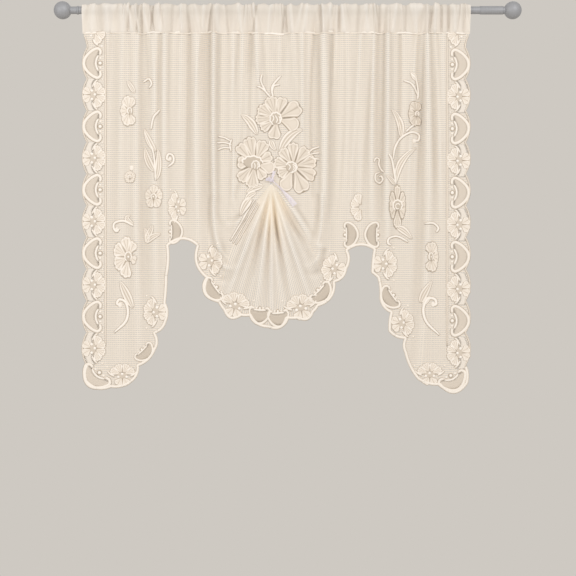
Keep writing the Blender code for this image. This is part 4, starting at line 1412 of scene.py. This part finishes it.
def moved(forms, x, z, turn, scale):
    """Forms drawn inwards and along an edge, set at a place of it: R(turn)*(scale*p) + place."""
    c, s = math.cos(math.radians(turn)), math.sin(math.radians(turn))
    spin = np.array(((c, s), (-s, c)))
    return [Form(f.place * scale @ spin + np.array((x, z)) * MM, f.lift, f.tone) for f in forms]


def bow_motif(half, arc):
    """A bow that fills one scallop, with an inner arc, and a seed between two knots."""
    bow = [*half, *((p, -q) for p, q in reversed(half[:-1]))]
    return [
        cord(bow, BOW_WIDTH, BOW_TONE, ends=0.8),
        cord(arc, ARC_WIDTH, ARC_TONE),
        dome((41, 0), 6.4, tone=0.05, rise=0.3 * MM),
        dome((41, 0), 3.8),
        dome((41.5, -11.5), 2.6, 0.9),
        dome((41.5, 11.5), 2.6, 0.9),
    ]


def ground(outer, inner, tone):
    """A flat patch between two smooth lines: outer + share*(inner - outer)."""
    outer, inner = (smooth_rows(np.array(line, float), 15) * MM for line in (outer, inner))
    share = np.array((0, 0.33, 0.67, 1.0))[:, None]
    place = outer[:, None] + share * (inner - outer)[:, None]
    return closed_form(place[:, ::-1], GROUND_LIFT, np.full(place.shape[:2], tone))


def bow_ground(half, arc, tone):
    """The ground inside a bow, up to its inner arc."""
    outer = [*half[2:], *((p, -q) for p, q in reversed(half[2:-1]))]
    return [ground(outer, [(37, -30), (37, -24), *arc, (37, 24), (37, 30)], tone)]


def edge_ground():
    """The ground at the edge on both sides of a flower."""
    outer = [(2.5, 8), (4, 16), (7, 24), (9.5, 31), (11.5, 37)]
    inner = [(24, 8), (24, 16), (23, 24), (26, 31), (31, 37)]
    mirrored = [[(p, -q) for p, q in reversed(line)] for line in (outer, inner)]
    return [ground(outer, inner, EDGE_GROUND), ground(*mirrored, EDGE_GROUND)]


def border_petal(x, angle, root, reach, spread, lobes, level=0.0):
    """A petal of a border flower, round a place x inwards from the middle of its edge."""
    return petal((x, 0), angle, root, reach, spread, lobes, level=level, outline=BORDER_OUTLINE)


def border_stem(side, *places):
    """A stem of a border flower, on one side of it."""
    return cord([(inwards, side * along) for inwards, along in places], STEM_WIDTH, STEM_TONE)


def petals_inwards(sides):
    """Ribbed petals on the inner side of a border flower, below and above its middle."""
    forms = [border_petal(27, side * 68, 6, 31, 46, 4) for side in sides]
    return forms + [border_petal(27, side * 27, 6, 28, 56, 4, OVERLAP) for side in sides]


def flower_motif():
    """Two lobes at the edge, ribbed petals inwards of three seeds, and stems and small seeds beside them."""
    forms = [border_petal(24, 180 + side * 30, 5, 25, 60, 2, OVERLAP) for side in (-1, 1)]
    forms += petals_inwards((-1, 1))
    forms += [border_stem(side, (35, 35), (28, 28), (23, 18)) for side in (-1, 1)]
    forms += [dome((25, 0), 8, tone=0.25, rise=0.9 * MM, squash=(0.9, 1.7), level=3 * OVERLAP)]
    forms += [dome(place, 3.5, rise=2.4 * MM, level=OVERLAP) for place in ((22, -10), (29, 0.5), (22, 9.5))]
    forms += [dome((46, side * 36), 2.2, 0.8) for side in (-1, 1)]
    return forms


def cut_motif(side):
    """What shows of a border flower under the heading: the petals of one side, two seeds and a stem."""
    forms = petals_inwards((side,))
    forms += [border_stem(side, (37, 33), (29, 27), (24, 17))]
    return forms + [dome(place, 2.7) for place in ((20, side * 10), (45, side * 34))]


def well(row, level):
    """A dark ellipse, and a bumpy cord round part of it at (1 + 0.07 cos 9a) times its size."""
    turns = np.radians(np.linspace(row.start, row.end, 40))
    swell = 1 + RIM_BUMP * np.cos(RIM_BUMPS * turns)
    x = row.x + row.wide * swell * np.cos(turns)
    z = row.z + row.tall * swell * np.sin(turns)
    width = 0.06 * min(row.wide, row.tall) + 0.9
    return [
        dome((row.x, row.z), 1.0, tone=WELL_TONE, rise=WELL_RISE, squash=(row.wide, row.tall), level=level),
        cord(np.stack((x, z), -1), width, rise=RIM_RISE, ends=0.6, level=level),
    ]


def blossom(flower):
    """Petals, each a little over the last one, round a well with a seed in it."""
    centre = (flower.x, flower.z)
    squash = (1.0, flower.tall / flower.wide)
    root = max(flower.well * 0.8, 5)
    forms = []
    for k, (angle, share, spread, lobes) in enumerate(flower.petals):
        reach, level = flower.wide * share, OVERLAP * (k % 4)
        forms.append(petal(centre, angle, root, reach, spread, lobes, squash, level, flower.outline))
    if flower.well:
        forms += well(Well(*centre, flower.well, flower.well * squash[1], *RING_ANGLES), WELL_LEVEL)
        forms.append(dome(centre, max(1.6, flower.well * 0.35), level=WELL_LEVEL + OVERLAP))
    return forms


def relief_object(name, forms, cloth, material):
    """All forms as one mesh laid on the cloth. Each ring joins the next one, and both ends are capped."""
    points, lifts, tones, faces, count = [], [], [], [], 0
    for form in forms:
        rings, size = form.lift.shape
        index = count + np.arange(rings * size).reshape(rings, size)
        faces += [*ring_faces(index), index[0, ::-1].tolist(), index[-1].tolist()]
        points.append(form.place.reshape(-1, 2))
        lifts.append(form.lift.ravel())
        tones.append(form.tone.ravel())
        count += rings * size
    points, lifts = np.concatenate(points), np.concatenate(lifts)
    placed = cloth.point(points[:, 0], points[:, 1], lifts, over=True)
    item = add_mesh(name, placed, faces, material, tone=np.concatenate(tones))
    return item


def side_motifs(x, turn, first, top, pitch):
    """The motifs down one side of the panel, from the one that is cut by the heading."""
    rows = [Border(first, x, -(top - 0.5 * pitch), FLOWER_CHORD, turn)]
    for k in range(SCALLOPS_A_SIDE):
        kind, chord = ("flower", FLOWER_CHORD) if k % 2 else ("scallop", SCALLOP_CHORD)
        rows.append(Border(kind, x, -(top + (k + 0.5) * pitch), chord, turn))
    return rows


LEFT_MOTIFS = side_motifs(PANEL_LEFT / MM, 0, "under", SCALLOP_TOP, SCALLOP_PITCH)
RIGHT_MOTIFS = side_motifs(PANEL_RIGHT / MM, 180, "over", RIGHT_TOP, RIGHT_PITCH)


def draw_border(rows, drawings):
    """Each motif's drawing at its place, at the scale of its chord."""
    forms = []
    for m in rows:
        full = SCALLOP_CHORD if m.kind in ("scallop", "moon") else FLOWER_CHORD
        size = (m.reach * m.chord / full, m.chord / full)
        forms += moved(drawings.get(m.kind, ()), m.x, m.z, m.turn, size)
    return forms


def build_border(cloth, edge, material):
    """Both sides and the hem: the cord along the edge, the motifs, and the line beside each side border."""
    inner = edge[2:-2] / MM
    inward = -right_of(inner)
    corners = (0, *np.flatnonzero(np.diff(inner[:, 1] < HEM[0].z)), len(inner))
    drawings = {
        "scallop": bow_motif(SCALLOP_BOW, SCALLOP_ARC),
        "moon": bow_motif(MOON_BOW, MOON_ARC),
        "flower": flower_motif(),
        "half": petals_inwards((-1, 1)),
        "under": cut_motif(-1),
        "over": cut_motif(1),
    }
    pieces = []
    for name, first, last, (parts, width, tone), motifs, line_x in (
        ("border_left", corners[0], corners[1], SIDE_CORD, LEFT_MOTIFS, PANEL_LEFT / MM + BAND_INSET),
        ("border_hem", corners[1], corners[-2], HEM_CORD, HEM_MOTIFS, None),
        ("border_right", corners[-2], corners[-1], SIDE_CORD, RIGHT_MOTIFS, PANEL_RIGHT / MM - BAND_INSET),
    ):
        forms = draw_border(motifs, drawings)
        for part in np.array_split(np.arange(first, last), parts):
            stretch = slice(part[0], part[-1] + 2)
            line = inner[stretch] + (CORD_INSET * width + CORD_MARGIN) * inward[stretch]
            forms.append(cord(line, width, tone, ends=1.0, skirt=EDGE_SKIRT))
        if line_x is not None:
            line = [(line_x, z) for z in LINE_STEPS]
            forms.append(cord(line, LINE_WIDTH, LINE_TONE, rise=LINE_RISE, skirt=LINE_SKIRT))
        pieces.append(relief_object(name, forms, cloth, material))
    return pieces


def build_tulle(cloth, material):
    """The fine sheer ground: inside every bow, and in strips at the edge between the motifs of both sides."""
    bows = {
        "scallop": bow_ground(SCALLOP_BOW, SCALLOP_ARC, SCALLOP_GROUND),
        "moon": bow_ground(MOON_BOW, MOON_ARC, MOON_GROUND),
    }
    forms = draw_border(HEM_MOTIFS, bows)
    forms += draw_border((*LEFT_MOTIFS, *RIGHT_MOTIFS), {**bows, "flower": edge_ground()})
    return relief_object("border_tulle", forms, cloth, material)


def build_flowers(cloth, material):
    """The bouquet over the tie and the two columns of flowers, leaves and sprigs."""
    forms = [form for flower in BLOSSOMS for form in blossom(flower)]
    forms += [form for row in WELLS for form in well(row, WELL_LEVEL)]
    forms += [form for row in HOODS for form in well(row, WELL_LEVEL + 2 * OVERLAP)]
    forms += [cord(row[1:], row[0], rise=STITCH_RISE, level=WELL_LEVEL + 2 * OVERLAP) for row in STAMENS]
    forms += [leaf(row) for row in LEAVES]
    forms += [cord(row[1:], SPRIG_SWELL * row[0]) for row in SPRIGS]
    forms += [dome((x, z), radius, tone=0.8, rise=STITCH_RISE, squash=(1, 1.3)) for x, z, radius in BUDS]
    return relief_object("lace_flowers", forms, cloth, material)


def build_seam(cloth, material):
    """The stitched seam under the pocket: a fine, darker cord all along, and thicker, paler stretches where
    it shows lit between the folds' shade, as painted light.

    The fine cord waves by sin(x/17) + 0.7*sin(x/7.3 + 1), a stretch by 1.2*sin(x/9) from its own start.
    """

    def stitched(line, width, tone, rise, ends):
        """A cord that is sunk into the gathers."""
        return cord(line, width, tone, rise * MM, ends, SEAM_LEVEL, SEAM_SKIRT)

    seam = -SEAM_DROP / MM + SEAM_RISE
    x = np.linspace(PANEL_LEFT / MM + 1, PANEL_RIGHT / MM - 1, SEAM_SAMPLES)
    line = np.stack((x, seam + 1.0 * np.sin(x / 17) + 0.7 * np.sin(x / 7.3 + 1)), -1)
    parts = np.array_split(np.arange(len(x)), SEAM_PARTS)
    # The fine cord's darker tone is painted shade, the stretches' full tone painted light where the seam is
    # lit
    forms = [stitched(line[part[0] : part[-1] + 2], 0.9, 0.75, 0.5, 0.9) for part in parts]
    for start, end, rise, width in SEAM_STRETCHES:
        run = np.linspace(start, end, 5)
        z = seam + rise + 1.2 * np.sin((run - start) / 9)
        forms.append(stitched(np.stack((run, z), -1), width, 1.0, 1.1, 0.5))
    return relief_object("heading_seam", forms, cloth, material)


def ribbon_strip(path, side, widths, curl):
    """A strip along a smooth path: path + side*half_width*b + out*curl*(1 - b^2), out across both."""
    path = smooth_rows(np.array(path, float), RIBBON_SAMPLES) * MM
    along = ways_along(path)
    side = np.array(side, float) - along * (along @ np.array(side, float))[:, None]
    side /= np.linalg.norm(side, axis=1, keepdims=True)
    out = np.cross(along, side)
    t = np.linspace(0, 1, RIBBON_SAMPLES)
    half = np.interp(t, np.linspace(0, 1, len(widths)), widths)[:, None, None] * MM / 2
    b = np.linspace(-1, 1, RIBBON_COLUMNS)[None, :, None]
    points = path[:, None] + side[:, None] * half * b + out[:, None] * curl * MM * (1 - b**2)
    runs = np.linalg.norm(np.diff(path, axis=0), axis=1)
    area = float((runs * (half[1:, 0, 0] + half[:-1, 0, 0])).sum())
    return points, area


def build_ribbon(cloth, material):
    """The satin ribbon: a band round the knot, two short loops and the end that lies on the cloth."""
    knot = np.array((TIE_X / MM, 0, TIE_Z / MM + KNOT_LIFT))
    knot[1] = -cloth.sample(cloth.height, TIE_X, TIE_Z + KNOT_LIFT * MM) / MM - KNOT_OUT
    right, forwards, up = KNOT_BAND
    turns = np.linspace(0, TURN, 17)
    ring = [(right * math.sin(a), -forwards * math.cos(a), up * math.sin(2 * a)) for a in turns]
    strips = [ribbon_strip(knot + ring, (0.15, 0, 1), KNOT_WIDTHS, KNOT_CURL)]
    for out, depth, side, widths in RIBBON_LOOPS:
        turn = np.linspace(LOOP_GAP, TURN - LOOP_GAP, 13)[:, None]
        path = knot + np.array(out) * (0.5 - 0.5 * np.cos(turn)) + np.array((0, -depth, 0)) * np.sin(turn)
        strips.append(ribbon_strip(path, side, widths, LOOP_CURL))
    end = np.array(RIBBON_END, float)
    x, z = (TIE_X / MM + end[:, 0]) * MM, (knot[2] + end[:, 1]) * MM
    steps = np.linspace(-1, 1, 5) * RIBBON_END_REACH
    top = np.max([cloth.sample(cloth.height, x + i, z + k) for i in steps for k in steps], axis=0)
    path = np.stack((x / MM, -top / MM - end[:, 2], z / MM), -1)
    path[0] = knot
    strips.append(ribbon_strip(path, (0.72, 0, 0.69), RIBBON_END_WIDTHS, RIBBON_END_CURL))
    points = np.concatenate([strip.reshape(-1, 3) for strip, _ in strips])
    faces = grid_faces(RIBBON_SAMPLES, RIBBON_COLUMNS)
    faces = np.concatenate([faces + k * RIBBON_SAMPLES * RIBBON_COLUMNS for k in range(len(strips))])
    ribbon = add_mesh("ribbon_looks", points, faces, material)
    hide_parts("ribbon_tie")


class Nodes:
    """Adds nodes to a tree. An input is a number, a colour or another node's output."""

    def __init__(self, tree):
        """Start on a material's or a group's tree."""
        self.tree = tree

    def fill(self, node, **inputs):
        """Set or link inputs by their names, with underscores for spaces."""
        for name, value in inputs.items():
            socket = node.inputs[name.replace("_", " ")]
            if isinstance(value, bpy.types.NodeSocket):
                self.tree.links.new(value, socket)
            else:
                socket.default_value = value
        return node

    def add(self, kind, **inputs):
        """A new node of a kind, with its inputs."""
        return self.fill(self.tree.nodes.new("ShaderNode" + kind), **inputs)

    def noise(self, scale, turn=(0.0, 0.0, 0.0)):
        """Noise in object coordinates, turned and then scaled along each axis."""
        place = self.add("TexCoord").outputs["Object"]
        scaled = self.add("Mapping", Vector=place, Rotation=turn, Scale=scale)
        return self.add("TexNoise", Vector=scaled.outputs["Vector"], Scale=1).outputs["Fac"]

    def ramp(self, value, first, last, *between):
        """The colour of a value between stops, each a position and a colour."""
        node = self.add("ValToRGB", Fac=value)
        stops = node.color_ramp.elements
        for stop, (position, colour) in zip(stops, (first, last)):
            stop.position = position
            stop.color = linear(colour)
        for position, colour in between:
            stops.new(position).color = linear(colour)
        return node.outputs["Color"]

    def span(self, value, low, high, start=0.0, end=1.0, easing="LINEAR"):
        """A value from start to end as one from low to high."""
        node = self.add("MapRange", Value=value, From_Min=start, From_Max=end, To_Min=low, To_Max=high)
        node.interpolation_type = easing
        return node.outputs["Result"]

    def mix(self, base, other, share):
        """One colour turned into the other by a share."""
        node = self.add("Mix")
        node.data_type = "RGBA"
        self.fill(node, Factor=share, A=base, B=other)
        return node.outputs["Result"]

    def bump(self, height, distance):
        """The normal of a surface whose height rises by up to the distance."""
        node = self.add("Bump", Strength=BUMP_STRENGTH, Distance=distance, Height=height)
        return node.outputs["Normal"]


def new_material(name):
    """A new material, its nodes and its shader."""
    material = bpy.data.materials.new(name)
    material.use_nodes = True
    return material, Nodes(material.node_tree), material.node_tree.nodes["Principled BSDF"]


def satin_material():
    """Lilac satin: fine streaks across the light vary its colour, its roughness and its height."""
    material, nodes, shader = new_material("lilac_satin")
    streaks = nodes.noise(SATIN_STREAKS, (0, SATIN_SLANT, 0))
    nodes.fill(
        shader,
        Base_Color=nodes.ramp(streaks, (0.3, SATIN_DARK), (0.7, SATIN_PALE)),
        Roughness=nodes.span(streaks, *SATIN_ROUGHNESS),
        Normal=nodes.bump(streaks, SATIN_DEPTH),
        Sheen_Weight=SATIN_SHEEN,
        Alpha=SATIN_ALPHA,
    )
    return material


def cloth_colour_group():
    """Thread colour with faint mottling and a painted warm backlight glow at the tie, roughness, and the
    fibres' height.
    """
    group = bpy.data.node_groups.new("lace_colour", "ShaderNodeTree")
    group.interface.new_socket("Color", in_out="OUTPUT", socket_type="NodeSocketColor")
    group.interface.new_socket("Roughness", in_out="OUTPUT", socket_type="NodeSocketFloat")
    group.interface.new_socket("Fibres", in_out="OUTPUT", socket_type="NodeSocketFloat")
    nodes = Nodes(group)
    mottled = nodes.ramp(nodes.noise((MOTTLE_SCALE,) * 3), (0.25, THREAD_DARK), (0.75, THREAD_PALE))
    place = nodes.add("TexCoord").outputs["Object"]
    from_backlit = nodes.add("Mapping", Vector=place, Location=BACKLIT_SHIFT, Scale=BACKLIT_SCALE)
    distance = nodes.add("VectorMath")
    distance.operation = "LENGTH"
    nodes.tree.links.new(from_backlit.outputs["Vector"], distance.inputs[0])
    # Painted light: the warm backlight glow fades out away from the tie
    backlit = nodes.span(distance.outputs["Value"], BACKLIT_SHARE, 0.0, *BACKLIT_RADII)
    out = group.nodes.new("NodeGroupOutput")
    nodes.fill(
        out,
        Color=nodes.mix(mottled, linear(BACKLIT_WARM), backlit),
        Roughness=nodes.span(nodes.noise((PATCH_SCALE,) * 3), *THREAD_ROUGHNESS),
        Fibres=nodes.noise((FIBRE_SCALE,) * 3),
    )
    return group


def painted_rod_shade(nodes, share):
    """How much painted shade of the rod shows through the pocket: the share at the rod's own height, easing
    out past it.
    """
    place = nodes.add("TexCoord").outputs["Object"]
    height = nodes.add("SeparateXYZ", Vector=place).outputs["Z"]
    shifted = nodes.add("Math")
    nodes.tree.links.new(height, shifted.inputs[0])
    shifted.inputs[1].default_value = ROD_BAND_DROP
    away = nodes.add("Math")
    away.operation = "ABSOLUTE"
    nodes.tree.links.new(shifted.outputs["Value"], away.inputs[0])
    return nodes.span(away.outputs["Value"], 0.0, share, *ROD_BAND, easing="SMOOTHSTEP")


def lace_material(name, group, alpha=1.0, toned=0.0, painted_light=0.0, rod=0.0):
    """Soft thread. The mesh's own tone attribute darkens and lightens it by the share toned; on folds,
    ripples and raised stitching that tone is painted shade and highlight. A share of pale light mixed in is
    painted light.

    A see-through cloth over the rod is darker by the share rod where the rod lies behind it, as painted shade
    of the rod.
    """
    material, nodes, shader = new_material(name)
    shared = nodes.add("Group")
    shared.node_tree = group
    tone = nodes.add("Attribute")
    tone.attribute_name = "tone"
    tones = nodes.ramp(tone.outputs["Fac"], (0.0, SHADE), (1.0, LIGHT), (CREAM_AT, CREAM))
    colour = nodes.mix(shared.outputs["Color"], tones, toned)
    # Painted light: the cloth mixed towards pale light by this share, brightening a shaded double layer
    if painted_light:
        colour = nodes.mix(colour, linear(LIGHT), painted_light)
    if rod:
        # Painted shade of the rod behind the see-through cloth
        colour = nodes.mix(colour, linear(ROD_SHADOW), painted_rod_shade(nodes, rod))
    nodes.fill(
        shader,
        Base_Color=colour,
        Roughness=shared.outputs["Roughness"],
        Normal=nodes.bump(shared.outputs["Fibres"], FIBRE_DEPTH),
        Alpha=alpha,
    )
    return material


def steel_material():
    """Brushed steel: fine streaks round the rod vary its colour, its roughness and its height."""
    material, nodes, shader = new_material("brushed_steel")
    streaks = nodes.noise(STEEL_STREAKS)
    nodes.fill(
        shader,
        Base_Color=nodes.ramp(streaks, (0.0, STEEL_DARK), (1.0, STEEL_PALE)),
        Roughness=nodes.span(streaks, *STEEL_ROUGHNESS),
        Normal=nodes.bump(streaks, STEEL_DEPTH),
        Metallic=STEEL_METALLIC,
    )
    return material


def floor_material():
    """A pale floor with a faint grain."""
    material, nodes, shader = new_material("pale_floor")
    grain = nodes.noise((FLOOR_GRAIN,) * 3)
    colour = nodes.ramp(grain, (0.0, FLOOR_DARK), (1.0, FLOOR_PALE))
    nodes.fill(shader, Base_Color=colour, Roughness=FLOOR_ROUGHNESS)
    return material


def turned(name, profile, material):
    """Turn (x, radius) pairs about the rod's axis. The ends close on the axis in a fan of triangles."""
    profile = np.array(profile)
    angles = np.arange(TURNED_SIDES) * TURN / TURNED_SIDES
    ring = np.stack((np.zeros(TURNED_SIDES), np.cos(angles), np.sin(angles)), -1)
    points = profile[:, None, 1:] * ring + profile[:, None, :1] * np.array((1.0, 0, 0))
    points = np.concatenate((points.reshape(-1, 3), [(profile[0, 0], 0, 0), (profile[-1, 0], 0, 0)]))
    index = np.arange(len(profile) * TURNED_SIDES).reshape(len(profile), TURNED_SIDES)
    faces = ring_faces(index)
    first, last = index[0], index[-1]
    ends = ((index.size, np.roll(first, -1), first), (index.size + 1, last, np.roll(last, -1)))
    for centre, rim, after in ends:
        faces += [[centre, *pair] for pair in zip(rim.tolist(), after.tolist())]
    if profile[-1, 0] < profile[0, 0]:
        faces = [face[::-1] for face in faces]
    item = add_mesh(name, points, faces, material)
    item.data.set_sharp_from_angle(angle=SHARP_ANGLE)
    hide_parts(name.replace("_looks", ""))


def ball_profile(side, rod_end, collar):
    """A neck or a collar, then a ball: x = centre - R*cos(turn), r = R*sin(turn)."""
    start = rod_end + FIT_GAP
    profile = [(start, NECK_RADIUS)]
    if collar:
        profile = [
            (start, COLLAR_RADIUS - COLLAR_EDGE),
            (start + COLLAR_EDGE, COLLAR_RADIUS),
            (start + COLLAR_LENGTH - COLLAR_EDGE, COLLAR_RADIUS),
            (start + COLLAR_LENGTH, NECK_RADIUS),
        ]
    turns = np.linspace(math.asin(NECK_RADIUS / BALL_RADIUS), BALL_END, BALL_SAMPLES)
    profile += list(zip(BALL_CENTRE - BALL_RADIUS * np.cos(turns), BALL_RADIUS * np.sin(turns)))
    return [(side * x, r) for x, r in profile]


def build_rod(material):
    """The rod, its end sleeve and both balls."""
    turned("rod_looks", [(ROD_LEFT, ROD_RADIUS), (ROD_RIGHT, ROD_RADIUS)], material)
    sleeve = [
        (SLEEVE_LEFT, ROD_RADIUS + SLEEVE_GAP),
        (SLEEVE_LEFT, SLEEVE_RADIUS - SLEEVE_BEVEL[1]),
        (SLEEVE_LEFT + SLEEVE_BEVEL[0], SLEEVE_RADIUS),
        (ROD_RIGHT - SLEEVE_INSET, SLEEVE_RADIUS),
    ]
    turned("rod_sleeve_looks", sleeve, material)
    turned("finial_left_looks", ball_profile(-1, -ROD_LEFT, True), material)
    turned("finial_right_looks", ball_profile(1, ROD_RIGHT, False), material)


def build_studio():
    """World colour as a plain backdrop, a floor far below, three soft lights and the camera."""
    scene = bpy.context.scene
    scene.view_settings.view_transform = "Standard"
    world = bpy.data.worlds.new("studio")
    world.use_nodes = True
    world.node_tree.nodes["Background"].inputs["Color"].default_value = linear(BACKDROP)
    scene.world = world
    mesh = bpy.data.meshes.new("floor")
    ways = ((-1, -1), (1, -1), (1, 1), (-1, 1))
    corners = [(FLOOR_REACH * x, FLOOR_REACH * y, FLOOR_HEIGHT) for x, y in ways]
    mesh.from_pydata(corners, [], [(0, 1, 2, 3)])
    mesh.materials.append(floor_material())
    floor = bpy.data.objects.new("floor", mesh)
    bpy.context.collection.objects.link(floor)
    for row in LIGHTS:
        light = bpy.data.lights.new(row.name, "AREA")
        light.size = row.size
        light.energy = row.power
        item = bpy.data.objects.new(row.name, light)
        item.location = row.place
        item.rotation_mode = "QUATERNION"
        item.rotation_quaternion = (Vector(LIGHTS_AIM) - Vector(row.place)).to_track_quat("-Z", "Y")
        bpy.context.collection.objects.link(item)
    camera = bpy.data.cameras.new("camera")
    camera.lens = CAMERA_LENS
    item = bpy.data.objects.new("camera", camera)
    item.location = CAMERA_PLACE
    item.rotation_euler = (math.radians(90), 0, 0)
    bpy.context.collection.objects.link(item)
    scene.camera = item


def main():
    """Build every piece and the studio."""
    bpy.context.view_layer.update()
    cloth = Cloth()
    edge = panel_edge(EDGE_STEP)
    colour = cloth_colour_group()
    thread = lace_material("lace_thread", colour, toned=0.5)
    build_rod(steel_material())
    relief = lace_material("lace_relief", colour, toned=0.92)
    border = build_border(cloth, edge, relief)
    tulle = build_tulle(cloth, lace_material("border_tulle", colour, alpha=0.9, toned=0.8))
    flowers = build_flowers(cloth, relief)
    seam = build_seam(cloth, relief)
    build_net(cloth, edge, thread)
    heading_cloth = lace_material("heading_cloth", colour, 0.82, toned=0.7, painted_light=0.38, rod=0.1)
    heading = build_heading(cloth, heading_cloth)
    build_ribbon(cloth, satin_material())
    build_studio()


main()
